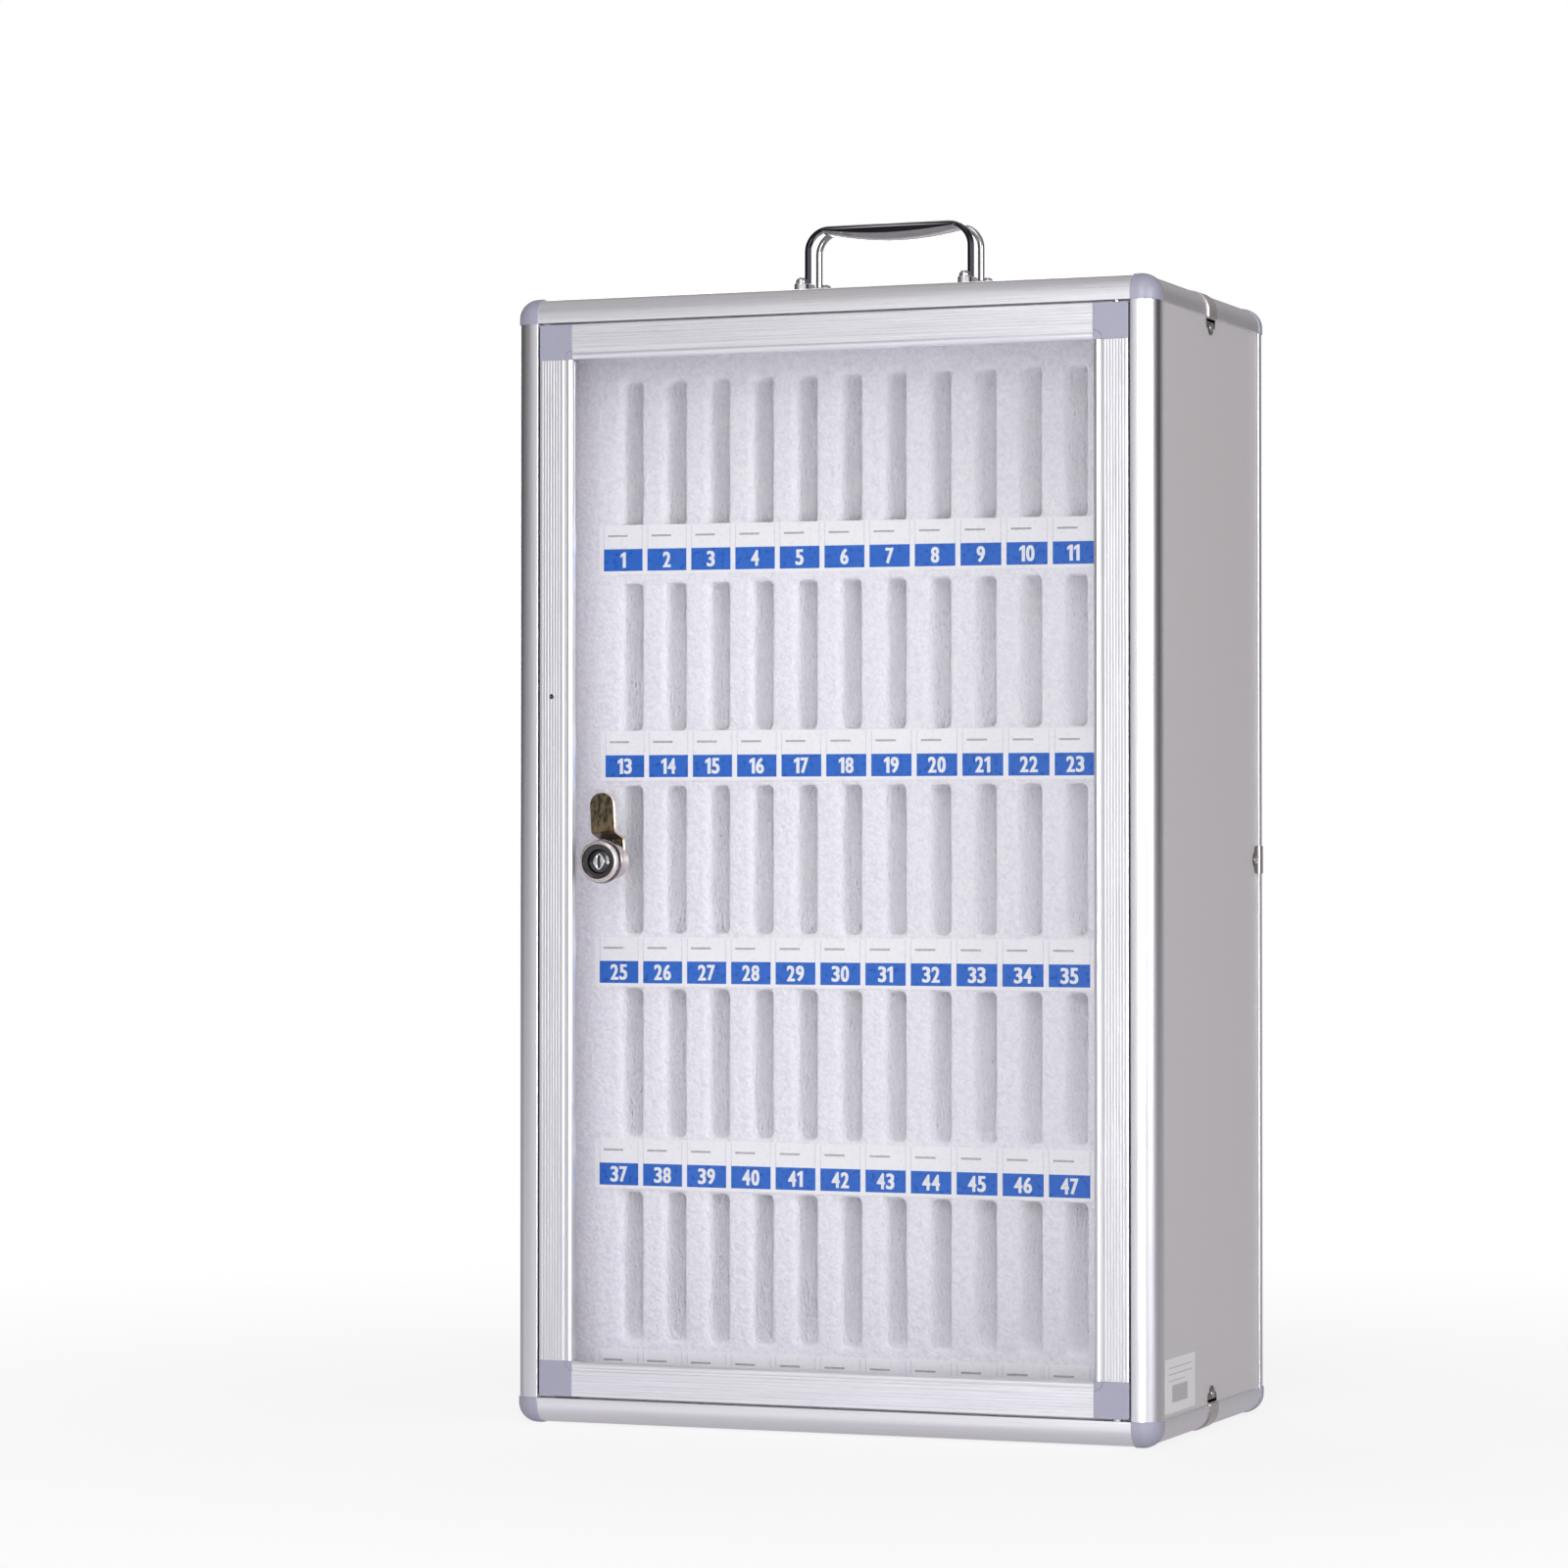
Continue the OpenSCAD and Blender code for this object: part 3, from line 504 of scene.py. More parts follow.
def cam_material():
    """Dull yellow plating, redder and brighter on the cranked part: partly a redder tone of the
    plating and partly a painted highlight.
    """
    material, tree, shader = node_tree("cam_brass")
    pattern = grain(tree, (1.8, 1.8, 3.2), detail=5)
    fac = spread(tree, pattern, 0, 1, 0.40, 0.60)
    plain = blend_colour(tree, fac, (0.040, 0.036, 0.018), (0.17, 0.135, 0.075))
    red_highlit = blend_colour(tree, fac, (0.14, 0.078, 0.038), (0.32, 0.195, 0.11))
    crank = node(tree, "Attribute", {}, "Fac", attribute_name="crank")
    fill(tree, shader, {
        "Base Color": blend_colour(tree, crank, plain, red_highlit),
        "Roughness": spread(tree, pattern, 0.24, 0.42),
        "Normal": bump(tree, pattern, 0.02), "Metallic": 1.0})
    return material


FOAM = foam_material()
PANE = pane_material()
HANDLE_CHROME = bar_chrome()
BRASS = cam_material()


def coat_node(name, material):
    """Gives a node of the frame its finish."""
    data = NODES[name].data
    data.materials.clear()
    data.materials.append(material)
    data.polygons.foreach_set("material_index", [0] * len(data.polygons))


# Edge profiles

INNER = PANEL_INSIDE + 0.1
OUTER = PANEL_FACE - 0.1


def front_section(with_lip):
    """Section of the front edges: a panel slot, and a flat wall towards the door."""
    wall = [(EDGE, LIP_BACK, 0.3)]
    if with_lip:
        wall = [(EDGE, STOP_Y), (LIP_END, STOP_Y, 0.3), (LIP_END, LIP_BACK, 0.3)]
    return rounded(
        [(0, EDGE, 0.25), (0, 0, EDGE_ROUND), (EDGE, 0, 0.45)] + wall +
        [(SLOT_ARM, LIP_BACK), (SLOT_ARM, EDGE, 0.2), (INNER, EDGE), (INNER, SLOT_FLOOR),
         (OUTER, SLOT_FLOOR), (OUTER, EDGE, 0.15)])


def edge_section():
    """Section of the other edges: a slot for each of the two panels."""
    return rounded([
        (OUTER, EDGE, 0.15), (0, EDGE, 0.25), (0, 0, EDGE_ROUND), (EDGE, 0, 0.25),
        (EDGE, OUTER, 0.15), (SLOT_FLOOR, OUTER), (SLOT_FLOOR, INNER), (EDGE, INNER),
        (EDGE, RELIEF), (RELIEF, RELIEF), (RELIEF, EDGE), (INNER, EDGE), (INNER, SLOT_FLOOR),
        (OUTER, SLOT_FLOOR)])


def edge_profile(axis, name, outline, lip=None, **ends):
    """A profile from one connector to the next. lip is where a stop lip starts and ends."""
    put = section_put(axis, **ends)
    shape = Shape().prism(outline, EDGE, CASE[axis] - EDGE, put)
    if lip:
        root = EDGE - 0.5
        shape.prism([(root, STOP_Y), (LIP_END, STOP_Y), (LIP_END, LIP_BACK), (root, LIP_BACK)],
                    *lip, put)
    piece("edge_" + name, shape, "carcass", [ANODISED[axis]], [name])


def edge_profiles():
    lip = (LIP_END + 0.1, middle_mm("hinge_pin_bottom").x - HINGE_ROOM)
    for side, right in SIDES:
        edge_profile("z", "front_post_" + side, front_section(not right), right=right)
    for level, top in LEVELS:
        edge_profile("x", "front_rail_" + level, front_section(False), lip, top=top)
    for level, top in LEVELS:
        for side, right in SIDES:
            edge_profile("y", f"side_rail_{level}_{side}", edge_section(), right=right, top=top)
        edge_profile("x", "back_rail_" + level, edge_section(), back=True, top=top)
    for side, right in SIDES:
        edge_profile("z", "back_post_" + side, edge_section(), right=right, back=True)


# Corner connectors


def connector_shape(right, back, top):
    """A cube's corner whose three outer edges and vertex are rounded alike."""
    curved, flat = 9, 2
    radius = EDGE_ROUND + PROUD
    steps = [(EDGE_ROUND, -math.tan(math.pi / 4 * (1 - i / curved))) for i in range(curved)]
    steps += [(EDGE_ROUND + (EDGE - EDGE_ROUND) * i / flat, 0.0) for i in range(flat + 1)]
    count = len(steps)
    turned = list(zip((right, back, top), CASE.values()))
    shape = Shape()

    def finished(points):
        return [[size - p if far else p for p, (far, size) in zip(point, turned)]
                for point in points]

    for axis in range(3):
        points = []
        others = [k for k in range(3) if k != axis]
        for base_u, lean_u in steps:
            for base_v, lean_v in steps:
                base, lean = [EDGE_ROUND] * 3, [-1] * 3
                base[others[0]], lean[others[0]] = base_u, lean_u
                base[others[1]], lean[others[1]] = base_v, lean_v
                points.append(Vector(base) + Vector(lean).normalized() * radius)
        shape.add(finished(points), [
            (i * count + j, i * count + j + 1, (i + 1) * count + j + 1, (i + 1) * count + j)
            for i in range(count - 1) for j in range(count - 1)])
        for across in reversed(others):
            rim = [p for p in points if abs(p[across] - EDGE) < 1e-6]
            shape.add(finished(rim + [(EDGE, EDGE, EDGE)]),
                      [(i, i + 1, len(rim)) for i in range(len(rim) - 1)])
    return shape


def corner_connectors():
    for depth, back in (("front_", False), ("back_", True)):
        for corner, top, right in CORNERS:
            piece("connector_" + depth + corner, connector_shape(right, back, top), "carcass",
                  [CONNECTOR], ["corner_" + depth + corner], sharp=40,
                  bevel=0.45, weld=0.01)


# Edge clips

CLIP_T = 0.6
CLIP_W = 15.0
CLIP_EAR = 9.3
RIVET_IN = 5.2
# Radius and rise of the rings of a rivet's head
RIVET_DOME = ((2.2, 0.0), (2.15, 0.18), (1.9, 0.38), (1.4, 0.52), (0.75, 0.585), (0.05, 0.6))


def clip_put(right, back, top):
    """Places a clip's section: on the level edges it runs along Y, on the posts along Z."""
    axis = "z" if back else "y"
    put = section_put(axis, right, back, top)
    return lambda a, b, s: put(a, b, CASE[axis] / 2 + s)


def ear_outline(reach, width):
    """A trefoil: one large lobe over the rivet and a small one at each side."""
    lobe_r, side_r = 4.0, 3.0
    circles = [(reach - lobe_r, 0, lobe_r), (side_r, width / 2 - side_r, side_r),
               (side_r, side_r - width / 2, side_r)]
    outline = []
    for way in ring_ways(72):
        far = 0
        for x, y, r in circles:
            gap = Vector((x - side_r, y))
            along = gap.dot(way)
            room = r * r - (gap.length_squared - along * along)
            if room >= 0:
                far = max(far, along + math.sqrt(room))
        if way.x < 0:
            far = max(far, min(side_r / max(1e-6, -way.x), width / 2 / max(1e-6, abs(way.y))))
        outline.append((side_r + way.x * far, way.y * far))
    return outline


def edge_clips():
    """Six straps, each with an ear and a rivet on both of its faces."""
    t, hook = CLIP_T, EDGE + 2.5
    skin = PANEL_FACE - t
    edge = EDGE + 0.01
    strap = rounded([
        (skin, hook), (skin, EDGE + t, 0.3), (-t, EDGE + t, 0.55), (-t, -t, EDGE_ROUND + t),
        (EDGE + t, -t, 0.55), (EDGE + t, skin, 0.3), (hook, skin), (hook, PANEL_FACE),
        (edge, PANEL_FACE), (edge, 0), (0, 0, EDGE_ROUND), (0, edge), (PANEL_FACE, edge),
        (PANEL_FACE, hook)])
    places = [(right, False, top) for right in (False, True) for top in (False, True)]
    places += [(right, True, False) for right in (False, True)]
    clips, rivets = Shape(), Shape()
    for ends in places:
        put = clip_put(*ends)
        clips.prism(strap, -CLIP_W / 2, CLIP_W / 2, put)
        for swap in (False, True):
            def ear_put(a, b, lift, swap=swap, put=put):
                spot = (PANEL_FACE - lift, EDGE + a)
                return put(*(reversed(spot) if swap else spot), b)
            # The ears take the darker colour of the painted dark reflection
            clips.prism(ear_outline(CLIP_EAR, CLIP_W), 0.0, t, ear_put, mark=1)
            rivets.loft([[ear_put(RIVET_IN + radius * way.x, radius * way.y, t + rise)
                          for way in ring_ways(24)] for radius, rise in RIVET_DOME])
    piece("clip_straps", clips, "carcass", [CLIP_STEEL, CLIP_EAR_PAINTED_DARK], ["edge_clips"],
          sharp=40, bevel=0.12)
    piece("clip_rivet_heads", rivets, "carcass", [CLIP_STEEL], ["clip_rivets"])


# Door


def member_outline():
    """Section of a door member: ribbed band, a round bead beside the pane, pane slot."""
    first = (RIB_BAND - (GROOVES - 1) * GROOVE_PITCH) / 2
    outline = [(0, DOOR_T, 0.4), (0, 0, 0.5)]
    for i in range(GROOVES):
        middle = first + i * GROOVE_PITCH
        outline += [(middle - GROOVE_W / 2, 0, 0.06), (middle - GROOVE_W / 6, GROOVE_DEEP),
                    (middle + GROOVE_W / 6, GROOVE_DEEP), (middle + GROOVE_W / 2, 0, 0.06)]
    outline += [(RIB_BAND, 0, 0.3), (RIB_BAND, BEAD_DIP)]
    bead = (MEMBER_W - BEAD_R, BEAD_R)
    pane_slot = PANE_FRONT - 0.1
    side = math.sqrt(BEAD_R ** 2 - (BEAD_R - BEAD_DIP) ** 2)
    start = math.degrees(math.atan2(BEAD_DIP - BEAD_R, -side))
    end = math.degrees(math.asin((pane_slot - BEAD_R) / BEAD_R))
    outline += corner_arc(bead, BEAD_R, start, end, 18)
    seat = MEMBER_W - 6.5
    back_lip = MEMBER_W - 1.5
    outline += [(seat, pane_slot), (seat, PANE_BACK + 0.1), (back_lip, PANE_BACK + 0.1, 0.3),
                (back_lip, DOOR_T, 0.4)]
    return rounded(outline, steps=3)


def door_put(axis, right=False, top=False):
    base = section_put(axis, right, top=top)
    return lambda a, b, s: base(DOOR_X + a, b, s)


def door_members():
    outline = member_outline()
    start = DOOR_X + MEMBER_W
    for name, right in (("lock", False), ("hinge", True)):
        shape = Shape().prism(outline, start, CASE_H - start, door_put("z", right))
        stile = piece("door_member_" + name, shape, "door", [RIBBED["z"]],
                      ["door_stile_" + name])
        if name == "lock":
            drill(stile)
    for name, top in LEVELS:
        shape = Shape().prism(outline, start, CASE_W - start, door_put("x", top=top))
        piece("door_member_" + name, shape, "door", [RIBBED["x"]],
              ["door_rail_" + name])


def drill(stile):
    """The small hole in the lock stile, its walls painted near-black as painted shade."""
    centre = (DOOR_X + RIB_BAND / 2, 0, LOCK_Z + HOLE_UP)
    cutter = Shape().lathe([(HOLE_R, -1.0), (HOLE_R, 1.8)], centre, ALONG_Y, sides=24)
    obj = new_object("cutter", cutter, [PAINTED_DARK_METAL])
    finish_mesh(obj, 30)
    stile.data.materials.append(PAINTED_DARK_METAL)
    modifier = stile.modifiers.new("hole", "BOOLEAN")
    modifier.object = obj
    modifier.operation = "DIFFERENCE"
    modifier.solver = "EXACT"
    modifier.material_mode = "TRANSFER"
    cut = made_mesh(stile)
    stile.modifiers.clear()
    stile.data = cut
    finish_mesh(stile, 25)
    bpy.data.objects.remove(obj)


def door_corners():
    arc = corner_arc((MEMBER_W, MEMBER_W), MEMBER_W - RIB_BAND, -90, -180, 12)
    plate = rounded([(0, 0, 1.2), (MEMBER_W, 0, 0.3)] + arc + [(0, MEMBER_W, 0.3)])
    seat = [(MEMBER_W, MEMBER_W)] + arc
    for corner, top, right in CORNERS:
        def put(a, b, s, base=section_put("y", right, top=top)):
            return base(DOOR_X + a, DOOR_X + b, s)
        shape = Shape().prism(plate, 0, DOOR_T, put)
        shape.prism(seat, GROOVE_DEEP + 0.1, DOOR_T, put)
        piece("door_plate_" + corner, shape, "door", [CONNECTOR],
              ["door_corner_" + corner], bevel=0.35)


# Lock, drawn along its axis, which runs back from the front

ALONG_Y = Matrix.Rotation(math.radians(-90), 3, "X")
LOCK_LOW, LOCK_HIGH = box_mm("lock_body")
LOCK_X, _, LOCK_Z = middle_mm("lock_body")
RING_R = (LOCK_HIGH.x - LOCK_LOW.x) / 2
RING_Y = LOCK_LOW.y
BARREL_END = LOCK_HIGH.y
AXIS = (LOCK_X, 0, LOCK_Z)
BARREL_R = 9.4
MOUTH_R = 9.2
MOUTH_DEEP = 1.6
PLUG_R = 6.5
THREAD = 1.2
NUT_FLATS = 20.6


def lock_body():
    """Ring, dished mouth painted dark as a painted reflection, and the threaded barrel behind the
    pane.
    """
    outside = [(PLUG_R + 0.05, BARREL_END), (BARREL_R - 0.5, BARREL_END),
               (BARREL_R, BARREL_END - 0.5)]
    root = BARREL_R - 0.45
    for i in range(int((BARREL_END - PANE_BACK - 1.5) / THREAD)):
        y = BARREL_END - 0.5 - (i + 0.5) * THREAD
        outside += [(root, y + 0.1), (root, y - 0.1), (BARREL_R, y - THREAD / 2)]
    outside += [(BARREL_R, PANE_FRONT), (RING_R, PANE_FRONT), (RING_R, PANE_FRONT - 1.2)]
    rim = corner_arc((RING_R - 1.3, RING_Y + 1.3), 1.3, 0, -90, 6)
    inner = [(MOUTH_R + 0.12, RING_Y), (MOUTH_R - 0.1, RING_Y + 0.18)]
    dish = [(MOUTH_R - 0.25, RING_Y + 1.3), (MOUTH_R - 0.6, RING_Y + 1.55),
            (PLUG_R + 0.06, RING_Y + MOUTH_DEEP), (PLUG_R + 0.05, BARREL_END)]
    profile = outside + rim + inner + dish
    face_from = len(outside) + 3
    # The dished mouth takes the near-black material, a painted dark reflection
    marks = [2] * face_from + [0] * (len(profile) - 6 - face_from) + [1] * 5
    shape = Shape().lathe(profile, AXIS, ALONG_Y, caps=False, marks=marks)
    piece("lock_housing", shape, "door", [ROSE_CHROME, PAINTED_DARK_METAL, WORN_CHROME],
          ["lock_body"], weld=0.001)


def lock_nuts():
    low, high = box_mm("lock_washer")
    washer_r = (high.x - low.x) / 2
    bore = BARREL_R + 0.05
    profile = [(bore, high.y), (washer_r - 0.2, high.y), (washer_r, high.y - 0.2),
               (washer_r, low.y + 0.2), (washer_r - 0.2, low.y), (bore, low.y), (bore, high.y)]
    shape = Shape().lathe(profile, AXIS, ALONG_Y, caps=False)
    piece("lock_washer_ring", shape, "door", [ZINC], ["lock_washer"], weld=0.001)
    low, high = box_mm("lock_nut")
    half = math.pi / 6
    rings = []
    for inset, y in ((None, high.y), (0.9, high.y), (0.0, high.y - 0.7), (0.0, low.y + 0.7),
                     (0.9, low.y), (None, low.y), (None, high.y)):
        ring = []
        for i in range(72):
            angle = 2 * math.pi * i / 72
            local = (angle + half) % (2 * half) - half
            radius = bore
            if inset is not None:
                radius = min(NUT_FLATS / 2 / math.cos(local),
                             NUT_FLATS / 2 / math.cos(half) - inset)
            ring.append((LOCK_X + radius * math.cos(angle), y, LOCK_Z + radius * math.sin(angle)))
        rings.append(ring)
    piece("lock_hex_nut", Shape().loft(rings, caps=False), "door", [WORN_CHROME],
          ["lock_nut"], sharp=25, weld=0.001)


def lock_plug():
    """The turning plug: painted near-black as a painted dark reflection, and slightly dished, with
    a bright boss round the key slot.
    """
    low, high = box_mm("lock_plug")
    front = low.y
    profile = [(0.02, front), (3.0, front), (3.7, front + 0.06), (4.2, front + 0.18),
               (5.5, front + 0.58), (6.1, front + 0.85), (6.4, front + 1.15),
               (PLUG_R, front + 1.5), (PLUG_R, high.y), (0.02, high.y)]
    shape = Shape().lathe(profile, AXIS, ALONG_Y)
    piece("lock_turning_plug", shape, "lock", [PAINTED_DARK_METAL], ["lock_plug"])
    boss_w, boss_h, slot_w, slot_h, deep = 3.5, 4.7, 1.4, 5.6, 1.3
    rim_y = front - 0.15
    outline = [Vector((boss_w * math.copysign(abs(c) ** 1.35, c),
                       boss_h * math.copysign(abs(s) ** 1.35, s)))
               for c, s in corner_arc((0, 0), 1, 0, 360, 48)[:-1]]
    slot = []
    for way in [point.normalized() for point in outline]:
        slot.append(way * min(slot_w / 2 / max(abs(way.x), 1e-6),
                              slot_h / 2 / max(abs(way.y), 1e-6)))

    def ring(points, scale, y):
        return [(LOCK_X + p.x * scale, y, LOCK_Z + p.y * scale) for p in points]

    rings = [ring(outline, scale, y) for scale, y in (
        (1.0, front + 0.5), (1.0, rim_y + 0.35), (0.93, rim_y + 0.08), (0.8, rim_y))]
    rings += [ring(slot, scale, y) for scale, y in (
        (1.25, rim_y + 0.15), (1.0, rim_y + 0.4), (1.0, rim_y + deep))]
    shape = Shape().loft(rings, caps=False)
    end = tuple(range(len(outline)))
    # The key slot's floor is painted near-black as painted shade
    shape.add(rings[-1], [end], mark=1)
    shape.add(rings[0], [end])
    piece("lock_key_boss", shape, "lock", [CHROME, PAINTED_DARK_METAL], weld=0.001)


CAM_T = 1.5
CAM_W = 14.3
CAM_REACH = 36.7
CAM_TIP = 6.4
CAM_CRANK = (12.4, 14.6)
CAM_LEAN = math.radians(3)
CAM_CHAMFER = 0.8
# Over this length the crank's redder, brighter colour, partly a painted highlight, fades into the
# rest
CAM_FADE = 1.6


def lock_cam():
    """A cranked tongue bent from strip: base behind the barrel, tongue behind the lip."""
    low, high = box_mm("lock_cam")
    t, tip_from = CAM_T, CAM_REACH - CAM_TIP
    base_y = high.y - t / 2
    tongue_y = low.y + t / 2
    crank_from, crank_to = CAM_CRANK[0] + t / 2, CAM_CRANK[1] + t / 2
    path = [(-CAM_W / 2 * math.cos(math.pi * i / 16), base_y) for i in range(9)]
    path += [(crank_from - 2.5, base_y), (crank_from - 1.2, base_y - 0.05)]
    path += line((crank_from - 0.4, base_y - 0.5), (crank_to + 0.4, tongue_y + 0.5), 8)
    path += [(crank_to + 1.2, tongue_y + 0.05), (crank_to + 2.5, tongue_y)]
    path += [(tip_from + CAM_TIP * math.sin(math.pi * i / 20), tongue_y) for i in range(11)]
    rings = []
    crank = []
    for i, (r, y) in enumerate(path):
        before = Vector(path[max(0, i - 1)])
        after = Vector(path[min(len(path) - 1, i + 1)])
        way = (after - before).normalized()
        normal = Vector((-way.y, way.x)) * t / 2
        half = CAM_W / 2
        if r < 0:
            half = math.sqrt(max(0.0, half ** 2 - r * r))
        if r > tip_from:
            half += math.sqrt(max(0.0, CAM_TIP ** 2 - (r - tip_from) ** 2)) - CAM_TIP
        half = max(half, 0.3)
        cut = min(CAM_CHAMFER, half * 0.5)
        ring = []
        for side, face in ((-half, 1), (half, 1), (half, 0), (half - cut, -1), (-half, -1)):
            out = r + face * normal.x
            ring.append((LOCK_X + side * math.cos(CAM_LEAN) - out * math.sin(CAM_LEAN),
                         y + face * normal.y,
                         LOCK_Z + side * math.sin(CAM_LEAN) + out * math.cos(CAM_LEAN)))
        rings.append(ring)
        # How much of the crank's redder colour and painted highlight each point gets
        outside = max(crank_from - 0.5 - r, r - crank_to - 0.5, 0.0)
        crank += [math.exp(-outside / CAM_FADE)] * len(ring)
    shape = Shape().loft(rings)
    # The edge faces take the pale colour of the painted highlight
    for k in range(len(rings) - 1):
        for side in (1, 2, 4):
            shape.marks[5 * k + side] = 1
    obj = piece("lock_cam_tongue", shape, "lock", [BRASS, CAM_EDGE_HIGHLIGHT], ["lock_cam"],
                sharp=35, bevel=0.22)
    obj.data.attributes.new("crank", "FLOAT", "POINT").data.foreach_set("value", crank)


def pan_screw(shape, centre, turn, radius, height, sides=36):
    """A domed screw head with a cross recess."""
    arc = corner_arc((radius - height * 0.75, height * 0.25), height * 0.75, 0, 90, 6)
    profile = [(0.02, 0), (radius, 0)] + arc
    shape.lathe(profile + [(radius * 0.2, height)], centre, turn, sides)
    arm, half = radius * 0.62, radius * 0.13
    cross = [(half, half), (arm, half), (arm, -half)]
    for _ in range(9):
        cross.append((cross[-3][1], -cross[-3][0]))
    rings = [[Vector(centre) + turn @ Vector((x, y, height + lift)) for x, y in cross]
             for lift in (-0.3, 0.04)]
    # The cross recess takes the piece's second material; both screws give it near-black, as painted
    # shade
    shape.loft(rings, marks=[1])


def cam_screw():
    low, high = box_mm("cam_screw")
    base = box_mm("lock_cam")[1].y
    shape = Shape()
    pan_screw(shape, (LOCK_X, base, LOCK_Z), ALONG_Y, (high.x - low.x) / 2, high.y - base)
    piece("cam_screw_head", shape, "lock", [ZINC, PAINTED_DARK_METAL], ["cam_screw"])


# Foam


def slot_ring(slot, out=0.0, cell=None):
    """(x, z) points round a slot, out millimetres outside its edge, or moved straight out
    to the border of its cell."""
    x0, x1, z0, z1 = slot
    left, right, low, high = (x0 + SLOT_ROUND, x1 - SLOT_ROUND, z0 + SLOT_ROUND, z1 - SLOT_ROUND)
    west, east, south, north = cell or (x0 - out, x1 + out, z0 - out, z1 + out)
    starts = ((west, low), (left, north), (east, high), (right, south))
    ends = ((west, high), (right, north), (east, low), (left, south))
    centres = ((left, high), (right, high), (right, low), (left, low))
    corners = ((west, north), (east, north), (east, south), (west, south))
    bend = 4
    points = []
    for k in range(4):
        points += line(starts[k], ends[k], (10, 3)[k % 2])
        if cell:
            points += line(ends[k], corners[k], bend)[1:]
            points += line(corners[k], starts[(k + 1) % 4], bend)[1:-1]
        else:
            turn = 180 - 90 * k
            points += corner_arc(centres[k], SLOT_ROUND + out, turn, turn - 90, 2 * bend)[1:-1]
    return points


def foam_lip():
    """How far the soft edge of the foam stands outside its wall, and how deep that is."""
    bends = 6
    turns = [math.pi / 2 * k / bends for k in range(bends + 1)]
    return [(FOAM_SOFT * (1 - math.sin(t)), FOAM_SOFT * (1 - math.cos(t))) for t in turns]


def foam_block():
    """One block with every slot: soft edges round each slot and the block itself."""
    low, high = box_mm("foam_shelves")
    names = [f"foam_dividers_row_{row}" for row in range(1, ROWS + 1)]
    rows = [box_mm(name) for name in names]
    rib = SLOT_PITCH - SLOT_W
    bar = rows[0][0].z - rows[1][1].z
    shape = Shape()
    for row_low, row_high in rows:
        for i in range(SLOTS):
            x0 = FIRST_SLOT + i * SLOT_PITCH
            slot = (x0, x0 + SLOT_W, row_low.z, row_high.z)
            cell = (x0 - rib / 2, x0 + SLOT_W + rib / 2, row_low.z - bar / 2, row_high.z + bar / 2)
            rings = [(slot_ring(slot, cell=cell), 0)]
            rings += [(slot_ring(slot, out), depth) for out, depth in foam_lip()]
            rings += [(slot_ring(slot), depth) for depth in SLOT_DEPTHS + (high.y - low.y,)]
            shape.loft([[(x, low.y + depth, z) for x, z in ring] for ring, depth in rings],
                       caps=False)
    inner = (FIRST_SLOT - rib / 2, CASE_W - FIRST_SLOT + rib / 2,
             rows[-1][0].z - bar / 2, rows[0][1].z + bar / 2)
    foam_sides(shape, inner, low, high)
    obj = piece("foam_block", shape, "carcass", [FOAM], ["foam_shelves"] + names,
                sharp=80, weld=0.01)
    crumple(obj)
    soften(obj)


def foam_sides(shape, inner, low, high):
    """The block's face from the cells' border out to its sides, and its four sides."""
    x0, x1, z0, z1 = inner
    loop = (line((x0, z0), (x0, z1), 60) + line((x0, z1), (x1, z1), 48)[1:] +
            line((x1, z1), (x1, z0), 60)[1:] + line((x1, z0), (x0, z0), 48)[1:-1])
    rings = [[(x, low.y, z) for x, z in loop]]
    depth = high.y - low.y - FOAM_SOFT
    sides = [(0, FOAM_SOFT + depth * share) for share in (0.1, 0.3, 0.6, 1.0)]
    for inset, y in foam_lip() + sides:
        a0, a1, b0, b1 = low.x + inset, high.x - inset, low.z + inset, high.z - inset
        rings.append([(a0 + (x - x0) / (x1 - x0) * (a1 - a0), low.y + y,
                       b0 + (z - z0) / (z1 - z0) * (b1 - b0)) for x, z in loop])
    shape.loft(rings, caps=False)


def crumple(obj):
    """Uneven foam: every point is pressed in a little, never out."""
    obj.data.update()
    normals = [v.normal.copy() for v in obj.data.vertices]
    for vertex, normal in zip(obj.data.vertices, normals):
        wide = noise.noise(vertex.co * 45) * 0.5 + 0.5
        fine = noise.noise(vertex.co * 160 + Vector((3, 1, 7))) * 0.5 + 0.5
        vertex.co -= normal * (0.35 * wide + 0.15 * fine) * MM


def soften(obj):
    """Leans the walls' shading normals to the front: foam lets light through, so its
    slots are nearly as light as its face. It also stores in the cut attribute how far each point
    is down a slot; there the colour is painted lighter, as painted light."""
    face = min(v.co.y for v in obj.data.vertices)
    normals = []
    cut = []
    for v in obj.data.vertices:
        depth = (v.co.y - face) / MM
        lean = FOAM_LEAN[0] + (FOAM_LEAN[1] - FOAM_LEAN[0]) * min(1.0, depth / FOAM_LEAN_DEPTH)
        normals.append((v.normal + Vector((0, -lean, 0))).normalized())
        cut.append(min(1.0, depth / FOAM_WALL_LIGHT_DEPTH))
    obj.data.attributes.new("cut", "FLOAT", "POINT").data.foreach_set("value", cut)
    obj.data.normals_split_custom_set_from_vertices(normals)


